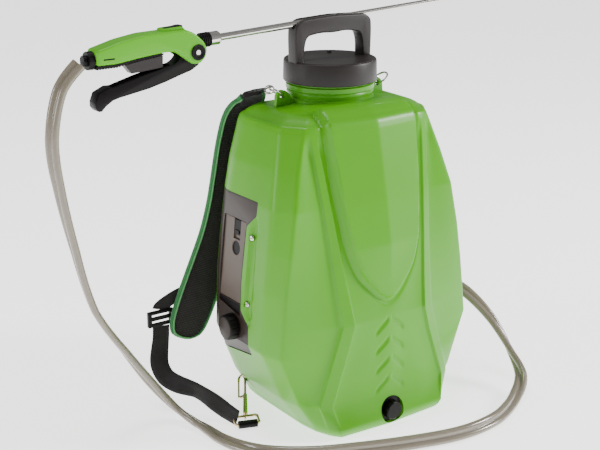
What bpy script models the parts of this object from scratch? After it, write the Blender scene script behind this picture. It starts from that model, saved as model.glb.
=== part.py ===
"""Battery backpack sprayer: tank, lid with carrying handle, side power unit, pump, straps, twin hose, gun and lance.

Sizes are in millimetres and become metres where a mesh is made. The origin is on the floor under the lid's axis.
+Z is up, -Y is the front of the tank, +Y is the wearer's back and the power unit is on -X.
"""

import math

import bmesh
import bpy
import numpy as np
from mathutils import Matrix, Vector

MM = 0.001
GAP = 0.3  # clearance between pieces that touch
FIT = 0.6  # clearance between a moulded piece and its pocket

# Tank
WALL = 3.4  # blow-moulded wall
TOP_Z = 412.0  # flat top around the neck
EDGE_Z = 397.0  # shoulder edge
HIP_Z = 116.0  # widest level
WAIST_Z = 151.0  # level where the front strips are closest
FOOT_Z = 12.0  # top of the rounded foot
HALF_WIDTH = 161.0  # at the widest level
BACK_Y = 60.0  # plane of the wearer's side
FRONT_Y = -136.0  # front face at the widest level

# Neck, mouth and lid
NECK_R = 55.0
NECK_TOP = 456.0
NECK_RING = 58.0
MOUTH_R = 48.0
LEDGE_R = 51.0
LEDGE_Z = 450.0
LID_R = 61.0
LID_TOP = 468.0
LID_RIM = 439.5
LID_SKIRT = 4.4
LID_CEILING = 460.0
GASKET_T = NECK_TOP + 2 * GAP  # underside of the gasket is a gap above the neck
VENT_AT = (22.6, 33.0)
VENT_R = 3.4
STRAINER_BOTTOM = 384.0
STRAINER_WALL = 2.0

# Carrying handle, moulded on the lid
POST_OUT = 60.0
POST_IN = 46.5
HANDLE_T = 19.0
HANDLE_TOP = 523.0
GRIP_LOW = 500.6

# Lance line: a straight line in the plane Y = 0 through the handle's trough
LANCE_X = -163.5
LANCE_Z = 508.7
LANCE_SLOPE = math.radians(3.3)
LANCE_R = 4.5
LANCE_THIN_R = 3.5
LANCE_STEP_X = 8.0  # where the thick tube ends, inside the trough
LANCE_END_X = 296.0
TROUGH_CLEAR = 1.5  # beside the lance
TROUGH_FLOOR = 0.5  # below the lance at the handle's left end

# Power unit pocket on -X: outline in Y and Z, seen from the side
POCKET_DEPTH_X = 98.0  # the pocket's floor
POCKET_FRONT = -46.0
POCKET_BACK = 46.0
POCKET_TOP = 306.0
POCKET_LOW_FRONT = 101.0
POCKET_LOW_BACK = 84.0
WEB_EDGE = -27.0  # free edge of the tank's screw web
WEB_TOP = 288.0
WEB_LOW = 142.0
WEB_X = 138.0  # back of the web
SCREW_Y = -38.5
SCREW_Z = (258.0, 170.0)
SCREW_R = 2.0
SCREW_HEAD_R = 4.0

# Battery door, on a hinge along its lower edge
DOOR_Y = (-23.5, 27.0)
DOOR_Z = (166.0, 274.0)
DOOR_T = 3.2
DOOR_FACE_LOW = 157.6  # outer face at its lower and upper edges
DOOR_FACE_TOP = 146.0
LATCH_Y = -3.0
LATCH_W = 15.0
BATTERY_W = 42.0
BATTERY_H = 88.0

# Speed knob
KNOB_Y = -9.4
KNOB_Z = 131.5
KNOB_R = 17.5
KNOB_BASE_X = 161.4
KNOB_L = 12.0
SHAFT_R = 3.0

# Pump pocket on +X
PUMP_Y = (-32.0, 44.0)
PUMP_Z = (86.0, 236.0)
PUMP_FLOOR_X = 98.0
COVER_BACK_X = 146.0
PUMP_AXIS = (122.0, 10.0)
MOTOR_R = 17.0
HEAD_R = 21.0
SUCTION_R = 4.5
SUCTION_Z = 100.0

OUTLET_Y = -2.0
OUTLET_Z = 136.0

# Drain in the lower front
DRAIN_Z = 21.0
DRAIN_R = 8.0
DRAIN_CAP_R = 12.5
DRAIN_FLANGE_R = 17.5
DRAIN_SEAT_R = 18.5
DRAIN_CAP_L = 16.0
DRAIN_FACE_Y = -138.0

# Strap lugs beside the neck, strap and hooks
LUG_X = 77.0
LUG_HOLE_Z = 426.0
LUG_HOLE_R = 3.6
RING_R = 10.0
RING_WIRE = 1.3
PAD_W = 58.0
PAD_T = 8.0
WEB_W = 25.0
WEB_T = 1.8
HOOK_WIRE = 2.0
EYE_AT = (122.2, 25.0, 33.6)  # hole of the low strap eye, in a recess of the lower chamfer
EYE_R = 4.4
EYE_OUT = (0.83, 0.0, -0.56)  # the chamfer's outward direction

# Gun
BODY_HALF = 13.5
CHEEK_IN = 9.4
LEVER_HALF = 9.0
LEVER_WALL = 2.2
PIVOT = (-204.5, 495.5)
PIVOT_R = 3.0
BOSS_R = 8.6
VALVE_R = 6.0
STEM_R = 2.6

# Twin hose: two equal lines side by side
LINE_R = 4.6
LINE_PITCH = 9.6
HOSE_POINTS = 76

COLOURS = {
    "green_plastic": ((0.20, 0.46, 0.025), 0.35, 0.0),
    "dark_plastic": ((0.045, 0.038, 0.036), 0.45, 0.0),
    "panel_plastic": ((0.20, 0.155, 0.13), 0.4, 0.0),
    "black_plastic": ((0.012, 0.010, 0.010), 0.4, 0.0),
    "rubber": ((0.02, 0.02, 0.02), 0.7, 0.0),
    "steel": ((0.62, 0.60, 0.56), 0.25, 1.0),
    "brass": ((0.72, 0.50, 0.22), 0.3, 1.0),
    "webbing": ((0.010, 0.009, 0.009), 0.8, 0.0),
    "pad_fabric": ((0.012, 0.010, 0.010), 0.85, 0.0),
    "hose": ((0.30, 0.26, 0.20), 0.3, 0.0),
    "white_plastic": ((0.75, 0.75, 0.72), 0.4, 0.0),
    "battery": ((0.03, 0.03, 0.035), 0.5, 0.0),
}


def start_scene():
    for obj in list(bpy.data.objects):
        bpy.data.objects.remove(obj, do_unlink=True)
    parts = bpy.data.collections.new("backpack_sprayer")
    cutters = bpy.data.collections.new("cutters")
    cutters.hide_render = True
    for group in (parts, cutters):
        bpy.context.scene.collection.children.link(group)
    return parts, cutters


PARTS, CUTTERS = start_scene()
MATERIALS = {}


def material(name):
    if name not in MATERIALS:
        colour, rough, metal = COLOURS[name]
        made = bpy.data.materials.new(name)
        made.use_nodes = True
        shader = made.node_tree.nodes["Principled BSDF"]
        shader.inputs["Base Color"].default_value = (*colour, 1.0)
        shader.inputs["Roughness"].default_value = rough
        shader.inputs["Metallic"].default_value = metal
        MATERIALS[name] = made
    return MATERIALS[name]


def place(name, mesh, finish=None, matrix=None):
    """Puts a mesh in the scene: a piece when it has a finish, and a hidden cutter when it has none."""
    obj = bpy.data.objects.new(name, mesh)
    if matrix is not None:
        obj.matrix_world = matrix
    if finish:
        mesh.materials.append(material(finish))
        PARTS.objects.link(obj)
    else:
        obj.hide_render = True
        obj.display_type = "WIRE"
        CUTTERS.objects.link(obj)
    return obj


def on_axis(origin, pivot_of):
    """An empty on a joint's axis, with the pieces that turn or slide with it as its children."""
    empty = bpy.data.objects.new(pivot_of, None)
    empty.location = Vector(origin) * MM
    PARTS.objects.link(empty)
    return empty


def ride(empty, *pieces):
    bpy.context.view_layer.update()
    for piece in pieces:
        world = piece.matrix_world.copy()
        piece.parent = empty
        piece.matrix_parent_inverse = empty.matrix_world.inverted()
        piece.matrix_world = world


def finish_mesh(mesh, smooth=math.radians(35)):
    mesh.shade_smooth()
    mesh.set_sharp_from_angle(angle=smooth)
    return mesh


def boolean(obj, other, operation="DIFFERENCE"):
    modifier = obj.modifiers.new(operation.lower(), "BOOLEAN")
    modifier.operation = operation
    modifier.object = other
    modifier.solver = "EXACT"
    return obj


def box(name, low, high, finish=None, bevel=0.0, matrix=None):
    bm = bmesh.new()
    size = [b - a for a, b in zip(low, high)]
    centre = [(a + b) / 2 for a, b in zip(low, high)]
    grow = Matrix.Translation(Vector(centre) * MM) @ Matrix.Diagonal((*[s * MM for s in size], 1))
    bmesh.ops.create_cube(bm, size=1.0, matrix=grow)
    mesh = bpy.data.meshes.new(name)
    bm.to_mesh(mesh)
    bm.free()
    obj = place(name, mesh, finish, matrix)
    if bevel:
        modifier = obj.modifiers.new("rounded", "BEVEL")
        modifier.width = bevel * MM
        modifier.segments = 2
    return obj


def rod(name, start, end, r1, r2=None, finish=None, sides=24):
    """A cylinder or cone between two points."""
    start, end = Vector(start) * MM, Vector(end) * MM
    along = end - start
    turn = Vector((0, 0, 1)).rotation_difference(along).to_matrix().to_4x4()
    bm = bmesh.new()
    bmesh.ops.create_cone(
        bm, cap_ends=True, segments=sides, radius1=r1 * MM, radius2=(r1 if r2 is None else r2) * MM,
        depth=along.length, matrix=Matrix.Translation((start + end) / 2) @ turn,
    )
    mesh = bpy.data.meshes.new(name)
    bm.to_mesh(mesh)
    bm.free()
    return place(name, finish_mesh(mesh), finish)


def turned(name, profile, finish=None, at=(0, 0, 0), along=(0, 0, 1), sides=32):
    """A turned piece: the profile is radius and height, down the outer side and back up the inner one."""
    points = [(r * MM, 0.0, h * MM) for r, h in profile]
    closed = profile[0][0] > 0
    count = len(points)
    edges = [(i, (i + 1) % count) for i in range(count if closed else count - 1)]
    mesh = bpy.data.meshes.new(name)
    mesh.from_pydata(points, edges, [])
    turn = Vector((0, 0, 1)).rotation_difference(Vector(along)).to_matrix().to_4x4()
    obj = place(name, mesh, finish, Matrix.Translation(Vector(at) * MM) @ turn)
    screw = obj.modifiers.new("turned", "SCREW")
    screw.axis = "Z"
    screw.angle = 2 * math.pi
    screw.steps = screw.render_steps = sides
    screw.use_merge_vertices = True
    screw.merge_threshold = 1e-5
    screw.use_smooth_shade = False
    return obj


SIDE_PLANES = {
    "XZ": Matrix(((1, 0, 0, 0), (0, 0, -1, 0), (0, 1, 0, 0), (0, 0, 0, 1))),
    "YZ": Matrix(((0, 0, 1, 0), (1, 0, 0, 0), (0, 1, 0, 0), (0, 0, 0, 1))),
    "XY": Matrix.Identity(4),
}


def as_mesh(curve_obj, name, finish):
    """A curve object made into a welded mesh, so that it can be cut, joined or rounded."""
    bpy.context.view_layer.update()
    mesh = bpy.data.meshes.new_from_object(curve_obj.evaluated_get(bpy.context.evaluated_depsgraph_get()))
    world = curve_obj.matrix_world.copy()
    bm = bmesh.new()
    bm.from_mesh(mesh)
    bmesh.ops.remove_doubles(bm, verts=bm.verts, dist=1e-6)
    bmesh.ops.recalc_face_normals(bm, faces=bm.faces)
    bm.to_mesh(mesh)
    bm.free()
    mesh.materials.clear()
    data = curve_obj.data
    bpy.data.objects.remove(curve_obj, do_unlink=True)
    bpy.data.curves.remove(data)
    return place(name, mesh, finish, world)


def plate(name, outline, low, high, plane, finish=None, bevel=0.0):
    """A flat outline given a thickness, from low to high along the plane's normal."""
    curve = bpy.data.curves.new(name + "_outline", "CURVE")
    curve.dimensions = "2D"
    curve.fill_mode = "BOTH"
    curve.extrude = (high - low) / 2 * MM
    spline = curve.splines.new("POLY")
    spline.points.add(len(outline) - 1)
    for point, (a, b) in zip(spline.points, outline):
        point.co = (a * MM, b * MM, 0, 1)
    spline.use_cyclic_u = True
    obj = bpy.data.objects.new(name + "_outline", curve)
    normal = {"XZ": Vector((0, -1, 0)), "YZ": Vector((1, 0, 0)), "XY": Vector((0, 0, 1))}[plane]
    middle = (low + high) / 2 * MM * (-1 if plane == "XZ" else 1)
    obj.matrix_world = Matrix.Translation(normal * middle) @ SIDE_PLANES[plane]
    PARTS.objects.link(obj)
    made = as_mesh(obj, name, finish)
    if bevel:
        modifier = made.modifiers.new("rounded", "BEVEL")
        modifier.width = bevel * MM
        modifier.segments = 2
        modifier.angle_limit = math.radians(50)
    return made


def wire(name, points, radius, finish=None, cyclic=False, detail=2):
    """A round bar, wire or hose along the points."""
    curve = bpy.data.curves.new(name, "CURVE")
    curve.dimensions = "3D"
    curve.bevel_depth = radius * MM
    curve.bevel_resolution = detail
    curve.use_fill_caps = not cyclic
    spline = curve.splines.new("POLY")
    spline.points.add(len(points) - 1)
    for point, co in zip(spline.points, points):
        point.co = (*(Vector(co) * MM), 1)
    spline.use_cyclic_u = cyclic
    obj = bpy.data.objects.new(name, curve)
    PARTS.objects.link(obj)
    return as_mesh(obj, name, finish)


def loft(name, rings, finish=None):
    """A closed skin over rings of points that differ in shape, which no single Blender tool makes."""
    bm = bmesh.new()
    rows = [[bm.verts.new(Vector(p) * MM) for p in ring] for ring in rings]
    count = len(rings[0])
    for lower, upper in zip(rows, rows[1:]):
        for i in range(count):
            j = (i + 1) % count
            bm.faces.new((lower[i], lower[j], upper[j], upper[i]))
    bm.faces.new(list(reversed(rows[0])))
    bm.faces.new(rows[-1])
    bmesh.ops.recalc_face_normals(bm, faces=bm.faces)
    mesh = bpy.data.meshes.new(name)
    bm.to_mesh(mesh)
    bm.free()
    return place(name, finish_mesh(mesh), finish)


def arc(centre, radius, start, end, steps):
    """Points on an arc, by angles in degrees."""
    angles = [math.radians(start + (end - start) * i / steps) for i in range(steps + 1)]
    return [(centre[0] + radius * math.cos(a), centre[1] + radius * math.sin(a)) for a in angles]


def smooth_route(points, count):
    """A centripetal Catmull-Rom curve through the points, read at even steps of its length."""
    points = np.asarray(points, float)
    first, last = 2 * points[0] - points[1], 2 * points[-1] - points[-2]
    p = np.vstack([first, points, last])
    fine = []
    for i in range(1, len(p) - 2):
        knots = [0.0]
        for j in range(3):
            knots.append(knots[-1] + np.linalg.norm(p[i + j, :3] - p[i + j - 1, :3]) ** 0.5)
        for t in np.linspace(knots[1], knots[2], 12, endpoint=False):
            row = [p[i + j - 1] for j in range(4)]
            for level in range(1, 4):
                row = [
                    (row[j] * (knots[j + level] - t) + row[j + 1] * (t - knots[j])) / (knots[j + level] - knots[j])
                    for j in range(4 - level)
                ]
            fine.append(row[0])
    fine = np.array(fine + [points[-1]])
    run = np.concatenate([[0], np.cumsum(np.linalg.norm(np.diff(fine[:, :3], axis=0), axis=1))])
    even = np.linspace(0, run[-1], count)
    return np.stack([np.interp(even, run, fine[:, k]) for k in range(fine.shape[1])], axis=1)


# ---------------------------------------------------------------- tank


def level(z, front, strip_in, strip_out, cheek, flank, rear, heel, back):
    """One level of the tank's outline, from the front's middle round the +X half to the back's middle."""
    return z, [(0, front), strip_in, strip_out, cheek, flank, rear, heel, (back[0], back[1]), (0, back[1] + 1)]


def tank_levels():
    w = HALF_WIDTH
    b = BACK_Y
    f = FRONT_Y
    return [
        level(0, f - 10, (80, -142), (89, -131), (98, -110), (102, -82), (103, 20), (102, 42), (94, b - 5)),
        level(FOOT_Z, f - 13, (85, -146), (94, -135), (104, -112), (108, -82), (109, 20), (108, 44), (99, b)),
        level(46, f - 4, (92, -137), (106, -130), (126, -112), (132, -80), (132, 24), (127, 46), (113, b)),
        level(HIP_Z, f, (68, -137), (83, -132), (w - 8, -111), (w, -78), (w, 28), (w - 8, 48), (w - 23, b)),
        level(WAIST_Z, f + 2, (58, -138), (72, -133), (w - 11.5, -110), (w - 1, -80), (w - 1, 29), (w - 9, 48),
              (w - 23, b)),
        level(196, f + 6, (63, -128), (75.5, -124), (w - 17, -109), (w - 3.4, -82), (w - 3, 29), (w - 11, 48),
              (w - 25, b)),
        level(247, f + 9, (69, -118), (79.5, -114), (w - 25, -108), (w - 10, -80), (w - 9, 28), (w - 17, 48),
              (w - 31, b)),
        level(302, f + 19, (75, -107), (84, -105), (w - 35, -104), (w - 18, -76), (w - 16, 26), (w - 24, 47),
              (w - 37, b - 1)),
        level(348, f + 29, (80, -97), (88, -95.5), (w - 47, -93), (w - 29, -68), (w - 25, 24), (w - 32, 46),
              (w - 45, b - 4)),
        level(EDGE_Z, f + 40, (85, -86), (91, -84.5), (w - 63, -82), (w - 43, -54), (w - 39, 20), (w - 45, 44),
              (w - 57, b - 8)),
    ]


def ring_of(half, z):
    """The full outline at one level, mirrored about X = 0."""
    right = [(x, y, z) for x, y in half]
    left = [(-x, y, z) for x, y in reversed(half[1:-1])]
    return right + left


def inset(ring, distance):
    """The outline moved inwards, each corner along its own bisector."""
    flat = [Vector(p[:2]) for p in ring]
    moved = []
    for i, here in enumerate(flat):
        before, after = (here - flat[i - 1]).normalized(), (flat[(i + 1) % len(flat)] - here).normalized()
        n1, n2 = Vector((-before.y, before.x)), Vector((-after.y, after.x))
        bisector = (n1 + n2).normalized()
        step = distance / max(0.5, bisector.dot(n1))
        moved.append((here.x + bisector.x * step, here.y + bisector.y * step, ring[i][2]))
    return moved


def tank_rings(offset):
    """The tank's rings moved inwards by an offset: 0 for the outer skin, the wall for the cavity."""
    rings = [inset(ring_of(half, z), offset) for z, half in tank_levels()]
    rings[0] = [(x, y, offset * 1.2) for x, y, _ in rings[0]]
    edge = rings[-1]
    rings[-1] = [(x, y, EDGE_Z - offset) for x, y, _ in edge]
    rings.append([(x * 0.90, y * 0.90, TOP_Z - 4 - offset) for x, y, _ in edge])
    rings.append([(x * 0.80, y * 0.80, TOP_Z - offset) for x, y, _ in edge])
    return rings


def pocket_outline(clear):
    """The power unit's outline, drawn smaller than its pocket by a clearance. The web's edge steps it in."""
    return [
        (POCKET_FRONT + clear, POCKET_TOP - clear), (POCKET_FRONT + clear, WEB_TOP + clear / 2),
        (WEB_EDGE + clear, WEB_TOP - 17), (WEB_EDGE + clear, WEB_LOW + 17), (POCKET_FRONT + clear, WEB_LOW - clear),
        (POCKET_FRONT + clear, POCKET_LOW_FRONT + clear), (POCKET_BACK - clear, POCKET_LOW_BACK + clear),
        (POCKET_BACK - clear, POCKET_TOP - clear),
    ]


def pocket_block(clear):
    """The outline behind the web, which is a plain four-sided one."""
    return [
        (POCKET_FRONT + clear, POCKET_TOP - clear), (POCKET_FRONT + clear, POCKET_LOW_FRONT + clear),
        (POCKET_BACK - clear, POCKET_LOW_BACK + clear), (POCKET_BACK - clear, POCKET_TOP - clear),
    ]


def face_x(z):
    """How far out the side face lies at a height, midway between front and back."""
    heights = [z_ for z_, _ in tank_levels()]
    widths = [half[5][0] for _, half in tank_levels()]
    return float(np.interp(z, heights, widths))


def eye_recess(name, side, grow):
    """The recess around the low strap eye, or with a growth the room its walls take from the cavity."""
    out = Vector((side * EYE_OUT[0], 0, EYE_OUT[2]))
    across = Vector((0, 1, 0)).cross(out)
    frame = Matrix((out, (0, 1, 0), across)).transposed().to_4x4()
    frame.translation = Vector((side * EYE_AT[0], EYE_AT[1], EYE_AT[2])) * MM
    return box(name, (-9 - grow, -15 - grow, -13 - grow), (30, 17 + grow, 13 + grow), matrix=frame)


def build_tank():
    tank = loft("tank_shell", tank_rings(0), "green_plastic")
    neck = [
        (0, NECK_TOP), (NECK_R, NECK_TOP), (NECK_R, 437), (NECK_RING, 436), (NECK_RING, 431), (NECK_R + 0.6, 430),
        (NECK_R + 0.6, 420), (NECK_RING, 419), (NECK_RING, TOP_Z - 6), (0, TOP_Z - 6),
    ]
    boolean(tank, turned("neck_blank", neck, sides=48), "UNION")
    for side in (-1, 1):
        lug = plate(
            "lug_blank_%d" % side,
            [(side * x, z) for x, z in [(62, TOP_Z - 8), (84, TOP_Z - 8)] + arc((LUG_X, LUG_HOLE_Z), 7, 0, 180, 8)
             + [(62, LUG_HOLE_Z)]],
            -3, 3, "XZ",
        )
        boolean(tank, lug, "UNION")
        hole = rod("lug_hole_%d" % side, (side * LUG_X, -9, LUG_HOLE_Z), (side * LUG_X, 9, LUG_HOLE_Z), LUG_HOLE_R,
                   sides=16)
        boolean(tank, hole)
    cavity = loft("tank_cavity", tank_rings(WALL))
    boolean(cavity, rod("mouth_bore", (0, 0, TOP_Z - 20), (0, 0, NECK_TOP + 5), MOUTH_R, sides=48), "UNION")
    around = WALL + FIT
    walls = pocket_block(-around)
    boolean(cavity, plate("pocket_walls", walls, -HALF_WIDTH - 20, -(POCKET_DEPTH_X - around), "YZ"))
    low, high = (PUMP_Y[0] - around, PUMP_Z[0] - around), (PUMP_Y[1] + around, PUMP_Z[1] + around)
    boolean(cavity, box("pump_walls", (PUMP_FLOOR_X - around, *low), (HALF_WIDTH + 20, *high)))
    for side in (-1, 1):
        boolean(cavity, eye_recess("eye_room_%d" % side, side, WALL))
    drain_boss = rod("drain_boss_room", (0, FRONT_Y - 30, DRAIN_Z), (0, FRONT_Y + 12, DRAIN_Z),
                     DRAIN_SEAT_R + WALL)
    boolean(cavity, drain_boss)
    boolean(tank, cavity)
    boolean(tank, rod("mouth_ledge", (0, 0, LEDGE_Z), (0, 0, NECK_TOP + 5), LEDGE_R, sides=48))
    boolean(tank, plate("pocket_front", pocket_outline(0), -HALF_WIDTH - 20, -POCKET_DEPTH_X, "YZ"))
    boolean(tank, plate("pocket_back", pocket_block(0), -WEB_X, -POCKET_DEPTH_X, "YZ"))
    boolean(tank, box("pump_pocket", (PUMP_FLOOR_X, PUMP_Y[0], PUMP_Z[0]), (HALF_WIDTH + 20, PUMP_Y[1], PUMP_Z[1])))
    boolean(tank, rod("drain_seat", (0, FRONT_Y - 40, DRAIN_Z), (0, DRAIN_FACE_Y + 3, DRAIN_Z),
                      DRAIN_SEAT_R, sides=32))
    boolean(tank, rod("drain_bore", (0, FRONT_Y - 40, DRAIN_Z), (0, FRONT_Y + 40, DRAIN_Z), DRAIN_R))
    boolean(tank, rod("suction_hole", (PUMP_FLOOR_X - 12, PUMP_AXIS[1], SUCTION_Z),
                      (PUMP_FLOOR_X + 12, PUMP_AXIS[1], SUCTION_Z), SUCTION_R + GAP, sides=16))
    for side in (-1, 1):
        boolean(tank, eye_recess("eye_recess_%d" % side, side, 0))
        x, y, z = EYE_AT
        out = Vector(EYE_OUT)
        root, tip = Vector(EYE_AT) - out * 10.5, Vector(EYE_AT) + out * 4
        across = Vector((-out.z, 0, out.x)) * 8
        corners = [root - across, tip - across * 0.8, tip + out * 3, tip + across * 0.8, root + across]
        eye = plate("eye_blank_%d" % side, [(side * c.x, c.z) for c in corners], -2.4, 2.4, "XZ")
        eye.location.y += y * MM
        boolean(tank, eye, "UNION")
        boolean(tank, rod("eye_hole_%d" % side, (side * x, y - 9, z), (side * x, y + 9, z), EYE_R, sides=16))
    for i, z in enumerate(SCREW_Z):
        face = face_x(z)
        boolean(tank, rod("screw_seat_%d" % i, (-face + 4, SCREW_Y, z), (-face - 12, SCREW_Y, z),
                          SCREW_HEAD_R + 0.8, sides=20))
        boolean(tank, rod("screw_hole_%d" % i, (-WEB_X + 6, SCREW_Y, z), (-face - 6, SCREW_Y, z),
                          SCREW_R + GAP, sides=16))
    return tank


def build_lid():
    """The screw lid with its moulded handle, the gasket under it, its vent and the strainer in the mouth."""
    skirt = LID_R + 0.5 - LID_SKIRT
    lid = turned("lid", [
        (0, LID_TOP), (LID_R - 1.6, LID_TOP), (LID_R, LID_TOP - 1.6), (LID_R + 0.5, LID_RIM), (skirt, LID_RIM),
        (skirt, LID_CEILING), (0, LID_CEILING),
    ], "dark_plastic", sides=64)
    outline = (
        [(-POST_OUT, LID_TOP - 4)] + arc((-POST_OUT + 10, HANDLE_TOP - 10), 10, 180, 90, 4)
        + arc((POST_OUT - 10, HANDLE_TOP - 10), 10, 90, 0, 4) + [(POST_OUT, LID_TOP - 4), (POST_IN, LID_TOP - 4)]
        + arc((POST_IN - 8, GRIP_LOW - 6), 8, 0, 75, 4) + [(0, GRIP_LOW)]
        + arc((-POST_IN + 8, GRIP_LOW - 6), 8, 105, 180, 4) + [(-POST_IN, LID_TOP - 4)]
    )
    handle = plate("handle_blank", outline, -HANDLE_T / 2, HANDLE_T / 2, "XZ", bevel=2.0)
    boolean(lid, handle, "UNION")
    half = LANCE_R + TROUGH_CLEAR
    trough = box("lance_trough", (-160, -half, -LANCE_R - TROUGH_FLOOR), (160, half, 40),
                 matrix=lance_frame(0))
    boolean(lid, trough)
    boolean(lid, rod("vent_hole", (*VENT_AT, LID_CEILING - 9), (*VENT_AT, LID_TOP + 9), 1.9, sides=16))
    gasket = [(55, LID_CEILING - GAP), (55, GASKET_T - GAP), (49.5, GASKET_T - GAP), (49.5, LID_CEILING - GAP)]
    turned("lid_gasket", gasket, "rubber", sides=48)
    valve = [(0, 470.4), (VENT_R, 470.0), (VENT_R, 468.4), (1.5, 468.4), (1.5, 457.4), (0, 457.4)]
    turned("vent_valve", valve, "rubber", at=(*VENT_AT, 0), sides=16)
    body, rim, top = MOUTH_R - 2, LEDGE_R - GAP, LEDGE_Z + GAP
    basket = turned("filler_strainer", [
        (0, STRAINER_BOTTOM + STRAINER_WALL), (body - STRAINER_WALL, STRAINER_BOTTOM + STRAINER_WALL),
        (body - STRAINER_WALL, top + 2), (rim, top + 2), (rim, top), (body, top), (body, STRAINER_BOTTOM),
        (0, STRAINER_BOTTOM),
    ][::-1], "black_plastic")
    for i in range(4):
        turn = Matrix.Rotation(math.pi * (i + 0.5) / 4, 4, "Z")
        low, high = (-body - 5, -8, STRAINER_BOTTOM + 10), (body + 5, 8, LEDGE_Z - 14)
        boolean(basket, box("strainer_slot_%d" % i, low, high, matrix=turn))


def lance_point(x):
    """The lance's centre at a distance across the tank."""
    return (x, 0, LANCE_Z + (x - LANCE_X) * math.tan(LANCE_SLOPE))


def lance_frame(x):
    """A frame on the lance's centre line, X along the lance."""
    return Matrix.Translation(Vector(lance_point(x)) * MM) @ Matrix.Rotation(-LANCE_SLOPE, 4, "Y")


def door_frame():
    """The battery door's frame: origin on its hinge, X into the tank, Z up the door's outer face."""
    lean = math.atan2(DOOR_FACE_LOW - DOOR_FACE_TOP, DOOR_Z[1] - DOOR_Z[0])
    return Matrix.Translation(Vector((-DOOR_FACE_LOW, 0, DOOR_Z[0])) * MM) @ Matrix.Rotation(lean, 4, "Y")


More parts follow.
